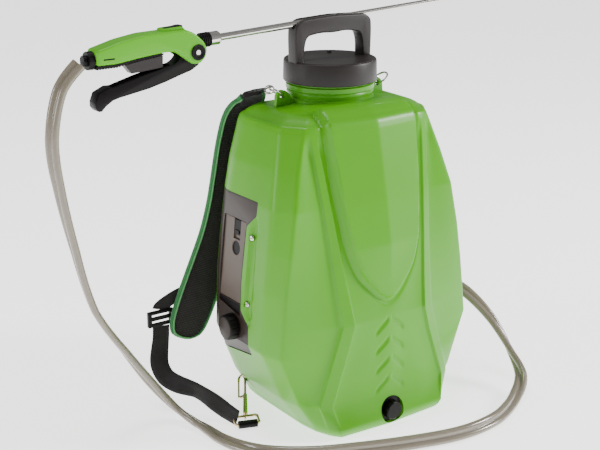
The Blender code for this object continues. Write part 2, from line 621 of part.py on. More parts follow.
def build_power_unit():
    """The -X side unit: housing, battery door with its latch, battery, controller, knob and screws."""
    housing = plate("side_housing", pocket_outline(FIT), -HALF_WIDTH - 9, -WEB_X - FIT, "YZ", "panel_plastic")
    boolean(housing, plate("housing_back", pocket_block(FIT), -WEB_X + FIT, -POCKET_DEPTH_X - FIT, "YZ"), "UNION")
    core = [(y, z) for y, z in pocket_outline(FIT)]
    boolean(housing, plate("housing_core", core, -WEB_X - 6, -WEB_X + 6, "YZ"), "UNION")
    boolean(housing, loft("tank_skin_inside", tank_rings(1.0)), "INTERSECT")
    frame = door_frame()
    y0, y1 = DOOR_Y
    tall = DOOR_Z[1] - DOOR_Z[0] + 0.6
    seat = box("door_seat", (-25, y0 - 0.4, -0.4), (DOOR_T + 0.4, y1 + 0.4, tall + 0.4), matrix=frame)
    boolean(housing, seat)
    boolean(housing, box("battery_bay", (-DOOR_FACE_LOW, y0 + 2.4, DOOR_Z[0] + 5),
                         (-POCKET_DEPTH_X - 4, y1 - 2.4, DOOR_Z[1] - 3)))
    notch = box("latch_notch", (1.1, LATCH_Y - 6.6, tall - 2), (DOOR_T, LATCH_Y + 6.6, tall + 4), matrix=frame)
    boolean(housing, notch)
    boolean(housing, box("controller_bay", (-142, KNOB_Y - 21, KNOB_Z - 22),
                         (-POCKET_DEPTH_X - 4, KNOB_Y + 21, KNOB_Z + 22)))
    boolean(housing, rod("shaft_hole", (-HALF_WIDTH - 9, KNOB_Y, KNOB_Z), (-139, KNOB_Y, KNOB_Z), SHAFT_R + GAP,
                         sides=16))
    door = box("battery_door", (0, y0, 0), (DOOR_T, y1, tall), "panel_plastic", 0.7, frame)
    boolean(door, box("latch_pocket", (-3, LATCH_Y - 7.8, tall - 27), (2.4, LATCH_Y + 7.8, tall + 5), matrix=frame))
    boolean(door, rod("finger_recess", frame @ Vector((-5 * MM, LATCH_Y * MM, 70 * MM)) / MM,
                      frame @ Vector((1.7 * MM, LATCH_Y * MM, 70 * MM)) / MM, 11, 9, sides=24))
    latch = box("door_latch", (0.4, LATCH_Y - 7.4, tall - 21), (2.1, LATCH_Y + 7.4, tall - 1.5), "black_plastic",
                matrix=frame)
    tongue = box("latch_tongue", (1.4, LATCH_Y - 6, tall - 4), (2.1, LATCH_Y + 6, tall + 2.2), matrix=frame)
    boolean(latch, tongue, "UNION")
    thumb = box("latch_thumb", (-0.8, LATCH_Y - 5, tall - 19), (1.0, LATCH_Y + 5, tall - 15), matrix=frame)
    boolean(latch, thumb, "UNION")
    middle = (y0 + y1) / 2
    box("battery_pack", (-140, middle - BATTERY_W / 2, DOOR_Z[0] + 9),
        (-POCKET_DEPTH_X - 8, middle + BATTERY_W / 2, DOOR_Z[0] + 9 + BATTERY_H), "battery", 3.0)
    controller = box("controller", (-139, KNOB_Y - 17, KNOB_Z - 18), (-110, KNOB_Y + 17, KNOB_Z + 18),
                     "black_plastic", 1.5)
    boolean(controller, rod("shaft_bore", (-160, KNOB_Y, KNOB_Z), (-126, KNOB_Y, KNOB_Z), SHAFT_R + GAP, sides=16))
    knob = turned("speed_knob", [
        (0, KNOB_L), (KNOB_R - 2, KNOB_L), (KNOB_R - 0.8, KNOB_L - 1.2), (KNOB_R, 0), (SHAFT_R, 0), (SHAFT_R, -33),
        (0, -33),
    ], "black_plastic", at=(-KNOB_BASE_X, KNOB_Y, KNOB_Z), along=(-1, 0, 0), sides=32)
    for i in range(12):
        a = math.radians(30 * i + 15)
        y, z = KNOB_Y + (KNOB_R + 0.6) * math.cos(a), KNOB_Z + (KNOB_R + 0.6) * math.sin(a)
        boolean(knob, rod("knob_flute_%d" % i, (-KNOB_BASE_X + 1, y, z), (-KNOB_BASE_X - KNOB_L - 4, y, z), 1.8,
                          sides=10))
    pivot = on_axis((-DOOR_FACE_LOW, 0, DOOR_Z[0]), "door_hinge")
    ride(pivot, door, latch)
    for i, z in enumerate(SCREW_Z):
        head = -face_x(z) + 4 - GAP
        screw = turned("panel_screw_%d" % (i + 1), [
            (0, 2.4), (SCREW_HEAD_R - 0.8, 2.4), (SCREW_HEAD_R, 1.2), (SCREW_HEAD_R, 0), (SCREW_R, 0),
            (SCREW_R, head + WEB_X - 8), (0, head + WEB_X - 8),
        ], "steel", at=(head, SCREW_Y, z), along=(-1, 0, 0), sides=20)
        boolean(screw, box("screw_slot_%d" % i, (head - 6, SCREW_Y - 3, z - 0.6), (head - 1.4, SCREW_Y + 3, z + 0.6)))
        boolean(housing, rod("screw_pilot_%d" % i, (-170, SCREW_Y, z), (-WEB_X + 10, SCREW_Y, z), SCREW_R + GAP,
                             sides=16))


def build_pump():
    """The +X side unit: cover, motor, diaphragm head, suction pipe and the outlet that the twin hose leaves from."""
    low, high = (PUMP_Y[0] + FIT, PUMP_Z[0] + FIT), (PUMP_Y[1] - FIT, PUMP_Z[1] - FIT)
    cover = box("pump_cover", (COVER_BACK_X, *low), (HALF_WIDTH + 9, *high), "panel_plastic")
    boolean(cover, loft("tank_skin_outside", tank_rings(1.0)), "INTERSECT")
    x, y = PUMP_AXIS
    rod("pump_motor", (x, y, 146), (x, y, 218), MOTOR_R, finish="steel", sides=32)
    head = turned("pump_head", [
        (0, 145.4), (HEAD_R - 3, 145.4), (HEAD_R, 142), (HEAD_R, 128), (HEAD_R - 2, 127), (HEAD_R - 2, 112),
        (HEAD_R, 111), (HEAD_R, 92), (0, 92),
    ], "black_plastic", at=(x, y, 0), sides=32)
    boolean(head, rod("suction_port", (x - HEAD_R - 4, y, SUCTION_Z), (x - 12, y, SUCTION_Z), SUCTION_R + GAP,
                      sides=16))
    boolean(head, rod("outlet_port", (x, OUTLET_Y, OUTLET_Z), (x + 40, OUTLET_Y, OUTLET_Z), 5.5 + GAP, sides=16))
    bend = [(75 + px, y, pz) for px, pz in arc((9, SUCTION_Z - 9), 9, 90, 180, 5)]
    wire("suction_pipe", [(x - 14, y, SUCTION_Z)] + bend + [(75, y, 40), (75, y, 12)], SUCTION_R, "white_plastic")
    manifold = rod("outlet_manifold", (x + 3, OUTLET_Y, OUTLET_Z), (174, OUTLET_Y, OUTLET_Z), 5.5,
                   finish="black_plastic", sides=20)
    boolean(manifold, box("outlet_block", (164, OUTLET_Y - 9, OUTLET_Z - 10), (184, OUTLET_Y + 7, OUTLET_Z + 10)),
            "UNION")
    boolean(cover, rod("outlet_hole", (x, OUTLET_Y, OUTLET_Z), (190, OUTLET_Y, OUTLET_Z), 5.5 + GAP, sides=20))


def build_drain():
    along = (0, -1, 0)
    cap = turned("drain_cap", [
        (0, DRAIN_CAP_L), (DRAIN_CAP_R - 1.5, DRAIN_CAP_L), (DRAIN_CAP_R, DRAIN_CAP_L - 1.5), (DRAIN_CAP_R, 5.4),
        (DRAIN_FLANGE_R, 5.4), (DRAIN_FLANGE_R, 2.6), (DRAIN_R - GAP, 2.6), (DRAIN_R - GAP, -14), (0, -14),
    ], "black_plastic", at=(0, DRAIN_FACE_Y + 3, DRAIN_Z), along=along)
    for i in range(10):
        a = math.radians(36 * i)
        x, z = (DRAIN_CAP_R + 0.5) * math.cos(a), DRAIN_Z + (DRAIN_CAP_R + 0.5) * math.sin(a)
        boolean(cap, rod("cap_flute_%d" % i, (x, DRAIN_FACE_Y - 3, z), (x, DRAIN_FACE_Y - 20, z), 1.6, sides=8))
    turned("drain_seal", [(11.5, 2.3), (11.5, GAP), (DRAIN_R + GAP, GAP), (DRAIN_R + GAP, 2.3)], "rubber",
           at=(0, DRAIN_FACE_Y + 3, DRAIN_Z), along=along)


def ribbon(name, rows, thick, finish, count, rounded=0.0):
    """A strip along a route. Each row is a centre, the direction of its width and half that width."""
    rows = smooth_route(rows, count)
    along = np.gradient(rows[:, :3], axis=0)
    rings = []
    for row, step in zip(rows, along):
        centre, wide = Vector(row[:3]), Vector(row[3:6])
        step = Vector(step).normalized()
        wide = (wide - step * wide.dot(step)).normalized()
        face = step.cross(wide) * thick / 2
        edge, flat = wide * row[6], wide * (row[6] - rounded)
        if rounded:
            corners = (flat - face, edge - face * 0.4, edge + face * 0.4, flat + face,
                       -flat + face, -edge + face * 0.4, -edge - face * 0.4, -flat - face)
        else:
            corners = (edge - face, edge + face, -edge + face, -edge - face)
        rings.append([centre + corner for corner in corners])
    return loft(name, rings, finish)


def build_strap(side, tag):
    """One shoulder strap with its metalwork, from the lug beside the neck to the eye low on the tank."""
    def at(x, y, z):
        return (side * x, y, z)

    out, up = Vector(at(0.8, 0, 0.6)), Vector(at(-0.6, 0, 0.8))
    middle = Vector(at(LUG_X, 0, LUG_HOLE_Z)) + out * RING_R
    turns = [math.radians(15 * i) for i in range(24)]
    wire("strap_ring_" + tag, [middle + out * RING_R * math.cos(a) + Vector((0, RING_R * math.sin(a), 0))
                               for a in turns], RING_WIRE, "steel", cyclic=True)
    link = middle + Vector((0, RING_R + 5.8, 0))
    wire("strap_link_" + tag, [link + up * 5 * math.cos(a) + Vector((0, 9 * math.sin(a), 0)) for a in turns], 1.6,
         "steel", cyclic=True)
    half = WEB_W / 2
    ribbon("top_webbing_" + tag, [
        (*at(85.5, 27.2, 432), side, 0, 0, 8), (*at(86.5, 34, 430), side, 0, 0, half),
        (*at(87.8, 41.6, 426.6), side, 0, 0, half),
    ], WEB_T, "webbing", 6)
    wide = PAD_W / 2
    ribbon("strap_pad_" + tag, [
        (*at(90, 47, 423.5), side, 0, 0, wide - 15), (*at(87, 60, 412), side, 0, 0, wide - 8),
        (*at(91, 69, 395), side, 0, 0, wide - 2), (*at(97, 73, 368), side, 0, 0, wide),
        (*at(106, 74, 326), side, 0, 0, wide), (*at(116, 74, 276), side, 0, 0, wide),
        (*at(130, 74, 229), side, 0, 0, wide), (*at(153, 74, 177), side, 0, 0, wide),
        (*at(173, 74, 131), side, 0, 0, wide), (*at(184, 74, 106), side, 0, 0, wide - 4),
        (*at(188.5, 74, 95), side, 0, 0, wide - 12),
    ], PAD_T, "pad_fabric", 28, rounded=3)
    ribbon("tab_webbing_" + tag, [
        (*at(188, 80, 170), side * 0.9, 0, 0.4, half - 3), (*at(201, 81, 160), side * 0.85, 0, 0.5, half - 2),
        (*at(213.5, 83.4, 150), side, 0, 0.15, half), (*at(216.8, 84.2, 140.6), side, 0, 0, half),
    ], WEB_T, "webbing", 8)
    tilt = Matrix.Translation(Vector(at(218, 84, 125)) * MM)
    buckle = box("ladder_buckle_" + tag, (-19, -3, -11), (19, 3, 11), "dark_plastic", 1.2, tilt)
    for i, z in enumerate((-4.4, 4.4)):
        slot = box("buckle_slot_%d_%s" % (i, tag), (-14, -9, z - 2.6), (14, 9, z + 2.6), matrix=tilt)
        boolean(buckle, slot)
    ribbon("lower_webbing_" + tag, [
        (*at(217.5, 84, 112), side, 0, 0, half), (*at(219, 82.4, 98), side, 0, 0, half),
        (*at(223.5, 80, 76), side, 0.2, 0, half), (*at(226, 76, 61.5), side * 0.9, 0.3, -0.3, half),
        (*at(222.5, 66, 46), side * 0.7, 0.2, -0.7, half), (*at(213, 46, 39.5), side * 0.3, 0, -0.95, half),
        (*at(201, 26, 37), 0, 0.2, -1, half), (*at(190.5, 2, 29), 0, -0.2, -0.95, half),
        (*at(180.5, -18, 19), 0, -0.2, -0.95, half), (*at(178.5, -28, 16), 0, -0.1, -0.97, half),
    ], WEB_T, "webbing", 26)
    aim, broad = Vector(at(-0.33, 0.94, 0.25)).normalized(), Vector(at(-0.94, -0.33, 0))
    frame = Vector(at(161, -40, 8))
    corners = [(-16, -6), (-14, -8), (14, -8), (16, -6), (16, 6), (14, 8), (-14, 8), (-16, 6)]
    wire("wire_loop_" + tag, [frame + broad * b + aim * a for b, a in corners], HOOK_WIRE, "steel", cyclic=True)
    low_bar = frame - aim * 8
    inner = HOOK_WIRE + GAP
    turned("web_roll_" + tag, [(5.3, 12.5), (5.3, -12.5), (inner, -12.5), (inner, 12.5)], "webbing", at=low_bar,
           along=broad, sides=20)
    hole, bar = Vector(at(*EYE_AT)), frame + aim * 8
    pull = (hole - bar).normalized()
    lift = Vector(at(*EYE_OUT))
    lift = (lift - pull * lift.dot(pull)).normalized()
    low_eye = [bar + pull * 4.2 * math.cos(a) + pull.cross(broad).normalized() * 4.2 * math.sin(a) for a in turns]
    hook = wire("snap_hook_" + tag, low_eye, 1.2, "brass", cyclic=True)
    back = hole - pull * 30
    boolean(hook, rod("hook_swivel_" + tag, bar + pull * 4, back - pull * 2, 3.4, 2.8, sides=16), "UNION")
    boolean(hook, rod("hook_wing_" + tag, back - pull * 4, back - pull * 4 + lift * 7.4, 1.9, sides=12), "UNION")
    jaw = [back - pull * 5, back, hole - pull * 15, hole + pull * 1]
    jaw += [hole + pull * (2 + 5 * math.sin(a)) + lift * (5 - 5 * math.cos(a))
            for a in (math.radians(d) for d in range(20, 181, 20))]
    jaw += [hole + lift * 10 - pull * 3]
    boolean(hook, wire("hook_jaw_" + tag, jaw, 1.7), "UNION")
    start, end = hole + lift * 10 - pull * 3.5, back - pull * 3.6 + lift * 9.8
    gate = rod("hook_gate_" + tag, start, end, 1.3, finish="steel", sides=12)
    ride(on_axis(end, "gate_axis_" + tag), gate)


def gun_line(x):
    """The centre of the gun's valve chamber at a distance across the tank."""
    return (x, 0, 505.0 + (x + 240) * 0.066)


def build_gun():
    """The spray gun: body, trigger and its lock, valve, collars and the lance with its nozzle."""
    px, pz = PIVOT
    body = plate("gun_body", [
        (-336.2, 491.8), (-336.2, 508.7), (-304, 517.4), (-275, 522), (-248, 523), (-222, 523.4), (-217.5, 522.8),
        (-208, 518.5), (-195.5, 507.7), (-190.5, 498.7), (-193.1, 488.4), (-201, 481.8), (-210, 481.5),
        (-214.5, 483.9), (-231.5, 496.1), (-236.2, 499), (-250.5, 499.1), (-282, 495.8), (-311, 491.8),
    ], -BODY_HALF, BODY_HALF, "XZ", "green_plastic")
    boolean(body, rod("pin_hole", (px, -21, pz), (px, 21, pz), PIVOT_R + GAP, sides=20))
    boolean(body, box("lever_slot", (-240, -CHEEK_IN, 470), (-175, CHEEK_IN, pz + BOSS_R + 1.4)))
    boolean(body, rod("valve_chamber", gun_line(-244), gun_line(-350), VALVE_R, sides=20))
    boolean(body, rod("water_way", lance_point(-170), gun_line(-248), STEM_R, sides=12))
    boolean(body, rod("collar_seat", lance_point(-195.4), lance_point(-150), 9.3, sides=32))
    boolean(body, box("thumb_slot", (-245.4, -5.4, 513), (-218.4, 5.4, 540)))
    lever = plate("trigger_lever", [
        (-211, 474), (-225, 470), (-247.4, 463.3), (-269.3, 457.9), (-289.4, 454.5), (-307.8, 451.4),
        (-316.3, 449.2), (-324.9, 443.9), (-330.8, 438.1), (-335, 438), (-338.7, 443), (-338.6, 449.3),
        (-334.4, 459.1), (-321, 465.1), (-313.4, 464.9), (-283, 473.1), (-254, 479.6), (-236, 483.6),
        (-230, 487), (-225, 493), (-217, 497), (-204, 497), (-198, 489), (-201.5, 479.5),
    ], -LEVER_HALF, LEVER_HALF, "XZ", "black_plastic", bevel=1.2)
    boolean(lever, rod("lever_boss", (px, -LEVER_HALF, pz), (px, LEVER_HALF, pz), BOSS_R, sides=28), "UNION")
    room = LEVER_HALF - LEVER_WALL
    boolean(lever, plate("lever_channel", [
        (-238, 469.5), (-247, 467), (-269, 461.5), (-289, 458), (-308, 455.2), (-318, 458), (-320, 500), (-238, 500),
    ], -room, room, "XZ"))
    boolean(lever, rod("lever_hole", (px, -20, pz), (px, 20, pz), PIVOT_R + GAP, sides=16))
    pin = rod("pivot_pin", (px, -BODY_HALF - 1, pz), (px, BODY_HALF + 1, pz), PIVOT_R, finish="steel", sides=20)
    lock = plate("trigger_lock", [(-298.4, 488.6), (-289.6, 477.6), (-248.4, 480.4), (-247.8, 495), (-275, 492.2)],
                 -room + 0.5, room - 0.5, "XZ", "dark_plastic", bevel=0.8)
    strip = plate("grip_strip", [
        (-336.2, 487.2), (-311, 487.6), (-298.8, 490.1), (-282, 492.7), (-252, 496.3), (-252, 498.6), (-282, 495.4),
        (-311, 491.4), (-336.2, 491.4),
    ], -11.5, 11.5, "XZ", "black_plastic")
    thumb = plate("thumb_button", [(-244.8, 517.2), (-244.8, 524.8), (-226, 528.3), (-220, 528.3), (-219, 523),
                                   (-219, 517.2)], -4.9, 4.9, "XZ", "black_plastic", bevel=0.8)
    stem = rod("valve_rod", gun_line(-249), gun_line(-300), 2.2, finish="brass", sides=16)
    boolean(stem, rod("valve_head", gun_line(-292), gun_line(-299), VALVE_R - 0.5, sides=20), "UNION")
    coil = []
    axis = (Vector(gun_line(-333)) - Vector(gun_line(-300))).normalized()
    across = Vector((0, 1, 0)).cross(axis)
    for i in range(73):
        a = math.radians(30 * i)
        start = Vector(gun_line(-301.4)) + axis * 26 * i / 72
        coil.append(start + across * 4.4 * math.cos(a) + Vector((0, 4.4 * math.sin(a), 0)))
    spring = wire("valve_spring", coil, 0.6, "steel")
    cap = turned("rear_cap", [(0, 12), (6.4, 12), (6.4, 7.4), (10.4, 7.4), (10.8, 6.4), (10.8, 0), (0, 0)],
                 "black_plastic", at=(-336.6, 0, 497), along=(-1, 0, 0), sides=28)
    collar = turned("front_collar", [(9, 6.3), (9, -6.3), (STEM_R, -6.3), (STEM_R, 6.3)], "black_plastic",
                    at=lance_point(-188.5), along=lance_frame(0).to_3x3() @ Vector((1, 0, 0)))
    along = lance_frame(0).to_3x3() @ Vector((1, 0, 0))
    nut = turned("lance_nut", [(7.2, 14), (8.6, 12), (8.6, 0), (LANCE_R + GAP, 0), (LANCE_R + GAP, 14)], "steel",
                 at=lance_point(-181.8), along=along)
    tube = rod("lance_tube", lance_point(-181.4), lance_point(LANCE_STEP_X), LANCE_R, finish="steel", sides=24)
    thin = rod("lance_extension", lance_point(LANCE_STEP_X + GAP), lance_point(LANCE_END_X), LANCE_THIN_R,
               finish="steel", sides=20)
    tip = Vector(lance_point(LANCE_END_X))
    bend = [tip + along * GAP, tip + along * 10, tip + along * 18 + Vector((0, 0, 3)),
            tip + along * 25 + Vector((0, 0, 9)), tip + along * 30 + Vector((0, 0, 16))]
    elbow = wire("nozzle_elbow", bend, 4.2, "brass", detail=3)
    aim = (bend[-1] - bend[-2]).normalized()
    nozzle = turned("nozzle_cap", [(1.2, 15), (6.5, 15), (8.5, 12), (8.5, 0), (1.2, 0)], "black_plastic",
                    at=bend[-1] + aim * 0.4, along=aim)
    pieces = [body, pin, lock, strip, thumb, stem, spring, cap, collar, nut, tube, thin, elbow, nozzle]
    ride(on_axis((-347.8, 0, 496), "gun_axis"), *pieces)
    ride(on_axis((px, 0, pz), "trigger_axis"), lever)


HOSE_ROUTE = [  # centre and the roll of the two lines about it, in degrees
    (-352.6, 0, 494.2, 15), (-365, 0, 483, 18), (-378, 0, 466, 22), (-391, 0, 411, 30), (-387, 0, 358, 45),
    (-367, 9, 270, 65), (-341, 20, 184, 75), (-294, 40, 112, 70), (-259, 40, 58, 55), (-232, 22, 20, 75),
    (-217, -19, 6, 95), (-211, -72, 6, 120), (-190, -122, 6, 140), (-148, -160, 6, 155), (-98, -186, 6, 170),
    (-2, -220, 6, 180), (57, -231, 7, 180), (120, -223, 9, 175), (183, -190, 10, 170), (214, -167, 22, 140),
    (223, -138, 42, 95), (219, -100, 82, 55), (200, -62, 118, 30), (180, -34, 134, 20),
]
ROLL_FROM = (0.542, 0.783, -0.306)  # the direction that a roll of nothing shows both lines across


def build_hose():
    """Two equal lines side by side, twisted along their way from the gun to the pump's outlet."""
    rows = smooth_route(HOSE_ROUTE, HOSE_POINTS)
    along = np.gradient(rows[:, :3], axis=0)
    first, second = [], []
    for row, step in zip(rows, along):
        step = Vector(step).normalized()
        across = step.cross(Vector(ROLL_FROM)).normalized()
        across = Matrix.Rotation(math.radians(row[3]), 3, step) @ across * LINE_PITCH / 2
        middle = Vector(row[:3])
        middle.z = max(middle.z, LINE_R + abs(across.z) + 0.3)
        first.append(middle + across)
        second.append(middle - across)
    wire("hose_supply", first, LINE_R, "hose")
    wire("hose_return", second, LINE_R, "hose")


build_tank()
build_lid()
build_power_unit()
build_pump()
build_drain()
build_strap(-1, "left")
build_strap(1, "right")
build_gun()
build_hose()
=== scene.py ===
# %% [markdown]
# # A backpack sprayer in Blender
#
# This notebook dresses the measured parts of a battery backpack sprayer. The parts come in as a fixed frame, and each
# visible piece is then modelled on top of it: a blow-moulded green tank with a raised shield, a screw lid with a
# carrying handle, a trigger gun on a steel lance, padded straps, zinc metalwork and a twin hose that lies on the floor.
#
# Everything is in metres, +Z is up, the tank's front looks along -Y and the battery unit is on -X.

# %%
import math

import bmesh
import bpy
import numpy as np
from mathutils import Matrix, Vector


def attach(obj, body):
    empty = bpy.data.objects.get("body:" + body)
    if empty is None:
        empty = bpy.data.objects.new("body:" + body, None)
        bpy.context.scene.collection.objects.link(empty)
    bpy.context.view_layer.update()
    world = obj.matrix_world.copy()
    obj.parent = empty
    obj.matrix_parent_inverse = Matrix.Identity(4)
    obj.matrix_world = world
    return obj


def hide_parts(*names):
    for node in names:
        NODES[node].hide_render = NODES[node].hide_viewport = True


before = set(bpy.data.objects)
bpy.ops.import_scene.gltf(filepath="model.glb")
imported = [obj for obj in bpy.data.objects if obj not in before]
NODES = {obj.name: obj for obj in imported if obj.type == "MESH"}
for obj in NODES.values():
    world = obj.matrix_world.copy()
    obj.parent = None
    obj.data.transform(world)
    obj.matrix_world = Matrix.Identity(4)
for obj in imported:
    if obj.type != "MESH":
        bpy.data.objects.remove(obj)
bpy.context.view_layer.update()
MM = 0.001

# %% [markdown]
# ## Camera
#
# The camera stands to the left of the tank's front, a little above it, with a short telephoto lens. It is set first,
# because every later choice is judged from it.

# %%
camera_data = bpy.data.cameras.new("camera")
camera_data.lens = 71.35
camera_data.sensor_width = 36.0
camera = bpy.data.objects.new("camera", camera_data)
camera.location = (-0.9095, -1.2441, 0.7335)
camera.rotation_euler = (math.radians(72.18), 0.0, math.radians(-34.715))
bpy.context.scene.collection.objects.link(camera)
bpy.context.scene.camera = camera

# %% [markdown]
# ## Materials
#
# Every finish is a Principled surface with a little procedural variety: a noise that shifts the colour and another
# that roughens or raises the surface. The noises read object coordinates, so they stay on a piece when it moves.


# %%
def finish(name, colour, rough, metallic=0.0, vary=0.12, vary_scale=12.0, grain=0.0, grain_scale=900.0, coat=0.0,
           soft=0.0, shine=0.5):
    """A Principled material. vary shifts the colour, grain is the height of a fine bump in millimetres."""
    made = bpy.data.materials.new(name)
    made.use_nodes = True
    nodes, links = made.node_tree.nodes, made.node_tree.links
    shader = nodes["Principled BSDF"]
    shader.inputs["Roughness"].default_value = rough
    shader.inputs["Metallic"].default_value = metallic
    shader.inputs["Coat Weight"].default_value = coat
    shader.inputs["Coat Roughness"].default_value = 0.15
    shader.inputs["Specular IOR Level"].default_value = shine
    if soft:
        shader.inputs["Subsurface Weight"].default_value = soft
        shader.inputs["Subsurface Radius"].default_value = (0.004, 0.006, 0.001)
        shader.inputs["Subsurface Scale"].default_value = 1.0
    place = nodes.new("ShaderNodeTexCoord")
    noise = nodes.new("ShaderNodeTexNoise")
    noise.inputs["Scale"].default_value = vary_scale
    noise.inputs["Detail"].default_value = 4.0
    links.new(place.outputs["Object"], noise.inputs["Vector"])
    mix = nodes.new("ShaderNodeMix")
    mix.data_type = "RGBA"
    darker = [c * (1 - vary) for c in colour]
    lighter = [min(1.0, c * (1 + vary)) for c in colour]
    mix.inputs[6].default_value = (*darker, 1.0)
    mix.inputs[7].default_value = (*lighter, 1.0)
    links.new(noise.outputs["Fac"], mix.inputs[0])
    links.new(mix.outputs[2], shader.inputs["Base Color"])
    if grain:
        fine = nodes.new("ShaderNodeTexNoise")
        fine.inputs["Scale"].default_value = grain_scale
        links.new(place.outputs["Object"], fine.inputs["Vector"])
        bump = nodes.new("ShaderNodeBump")
        bump.inputs["Distance"].default_value = grain * MM
        links.new(fine.outputs["Fac"], bump.inputs["Height"])
        links.new(bump.outputs["Normal"], shader.inputs["Normal"])
    return made


WAVE_PERIOD = 0.314  # what one wave measures at a scale of 1


def weave(name, colour, rough, pitch, depth):
    """Cloth: two crossed sets of waves over the piece's own UV map, in millimetres of thread."""
    made = finish(name, colour, rough, vary=0.2, vary_scale=60.0)
    nodes, links = made.node_tree.nodes, made.node_tree.links
    shader = nodes["Principled BSDF"]
    shader.inputs["Sheen Weight"].default_value = 0.15
    shader.inputs["Specular IOR Level"].default_value = 0.25
    uv = nodes.new("ShaderNodeUVMap")
    uv.uv_map = "cloth"
    heights = []
    for direction in ("X", "Y"):
        wave = nodes.new("ShaderNodeTexWave")
        wave.bands_direction = direction
        wave.inputs["Scale"].default_value = WAVE_PERIOD / pitch
        wave.inputs["Distortion"].default_value = 0.3
        links.new(uv.outputs["UV"], wave.inputs["Vector"])
        heights.append(wave)
    both = nodes.new("ShaderNodeMath")
    both.operation = "MULTIPLY"
    links.new(heights[0].outputs["Fac"], both.inputs[0])
    links.new(heights[1].outputs["Fac"], both.inputs[1])
    bump = nodes.new("ShaderNodeBump")
    bump.inputs["Distance"].default_value = depth * MM
    links.new(both.outputs[0], bump.inputs["Height"])
    links.new(bump.outputs["Normal"], shader.inputs["Normal"])
    return made


GREEN = finish("green_hdpe", (0.080, 0.350, 0.004), 0.36, vary=0.10, vary_scale=7.0, grain=0.05, grain_scale=500,
               shine=0.32, coat=0.05)
GUN_GREEN = finish("gun_green", (0.090, 0.400, 0.005), 0.38, vary=0.05, grain=0.03, shine=0.3)
DARK = finish("lid_dark", (0.018, 0.014, 0.013), 0.42, vary=0.10, grain=0.06, grain_scale=1400, shine=0.35)
PANEL = finish("panel_brown", (0.030, 0.020, 0.016), 0.42, vary=0.10, grain=0.04, grain_scale=1200, shine=0.3)
DOOR = finish("door_brown", (0.092, 0.067, 0.053), 0.38, vary=0.08, grain=0.04, grain_scale=1200, shine=0.35)
BLACK = finish("black_plastic", (0.0040, 0.0030, 0.0030), 0.42, vary=0.15, grain=0.03, shine=0.16)
RUBBER = finish("rubber", (0.015, 0.015, 0.015), 0.7, vary=0.1)
STEEL = finish("steel", (0.66, 0.64, 0.60), 0.18, 1.0, vary=0.06, vary_scale=80, grain=0.01)
ZINC = finish("yellow_zinc", (0.66, 0.52, 0.30), 0.26, 1.0, vary=0.2, vary_scale=120, grain=0.02)
PALE = finish("plain_white", (0.7, 0.7, 0.68), 0.4, vary=0.03)
HOSE = finish("hose_grey", (0.215, 0.185, 0.140), 0.22, vary=0.14, vary_scale=30, coat=0.5, soft=0.15)
WEB = weave("webbing", (0.010, 0.008, 0.008), 0.75, 1.6, 0.35)
MESH = weave("pad_mesh", (0.012, 0.009, 0.009), 0.8, 2.4, 0.7)
TRIM = weave("trim_green", (0.018, 0.15, 0.035), 0.7, 1.4, 0.3)
PIPING = weave("piping_green", (0.10, 0.33, 0.11), 0.7, 1.0, 0.2)

# %% [markdown]
# ## Helpers
#
# Small tools for what follows: a mesh from rows of points, a plate from an outline, a round piece from a profile,
# and cutting one piece with another. A copy of a measured part can be tidied, bevelled and dressed.


# %%
def link(name, mesh):
    obj = bpy.data.objects.new(name, mesh)
    bpy.context.scene.collection.objects.link(obj)
    return obj


def only(obj):
    bpy.ops.object.select_all(action="DESELECT")
    obj.select_set(True)
    bpy.context.view_layer.objects.active = obj


def apply(obj, kind, **settings):
    only(obj)
    modifier = obj.modifiers.new(kind.lower(), kind)
    for key, value in settings.items():
        setattr(modifier, key, value)
    bpy.ops.object.modifier_apply(modifier=modifier.name)
    return obj


def cut(obj, *others, operation="DIFFERENCE"):
    """Cuts other pieces away, or joins them on. The others are used up."""
    for other in others:
        apply(obj, "BOOLEAN", operation=operation, object=other, solver="EXACT")
        bpy.data.objects.remove(other, do_unlink=True)
    return obj


def smooth(obj, degrees=32):
    """Shades an edge smooth where its faces turn by less than the angle."""
    only(obj)
    bpy.ops.object.shade_smooth_by_angle(angle=math.radians(degrees))
    return obj


def dress(obj, material, body, *replaced, slot=None):
    """Gives a piece its finish and its body, and hides the measured nodes it stands for."""
    obj.data.materials.clear()
    obj.data.materials.append(material)
    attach(obj, body)
    if replaced:
        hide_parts(*replaced)
    return obj


def skin(name, rows, closed_rows=True, caps=True):
    """A mesh over rows of points. Every row has the same number of points."""
    rows = np.asarray(rows, float)
    count, wide = rows.shape[:2]
    faces = []
    for i in range(count - 1):
        for j in range(wide if closed_rows else wide - 1):
            k = (j + 1) % wide
            faces.append((i * wide + j, i * wide + k, (i + 1) * wide + k, (i + 1) * wide + j))
    if caps:
        faces.append(tuple(range(wide))[::-1])
        faces.append(tuple(range((count - 1) * wide, count * wide)))
    mesh = bpy.data.meshes.new(name)
    mesh.from_pydata(rows.reshape(-1, 3).tolist(), [], faces)
    bm = bmesh.new()
    bm.from_mesh(mesh)
    bmesh.ops.recalc_face_normals(bm, faces=bm.faces)
    bm.to_mesh(mesh)
    bm.free()
    return link(name, mesh)


def plate(name, outline, low, high, plane="XZ"):
    """A flat outline, given in millimetres, with a thickness from low to high along the plane's normal."""
    to = {"XZ": lambda a, b, t: (a, t, b), "YZ": lambda a, b, t: (t, a, b), "XY": lambda a, b, t: (a, b, t)}[plane]
    rows = [[Vector(to(a, b, t)) * MM for a, b in outline] for t in (low, high)]
    return skin(name, rows)


def block(name, low, high, matrix=None):
    outline = [(low[0], low[1]), (high[0], low[1]), (high[0], high[1]), (low[0], high[1])]
    obj = plate(name, outline, low[2], high[2], "XY")
    if matrix is not None:
        obj.data.transform(matrix)
    return obj


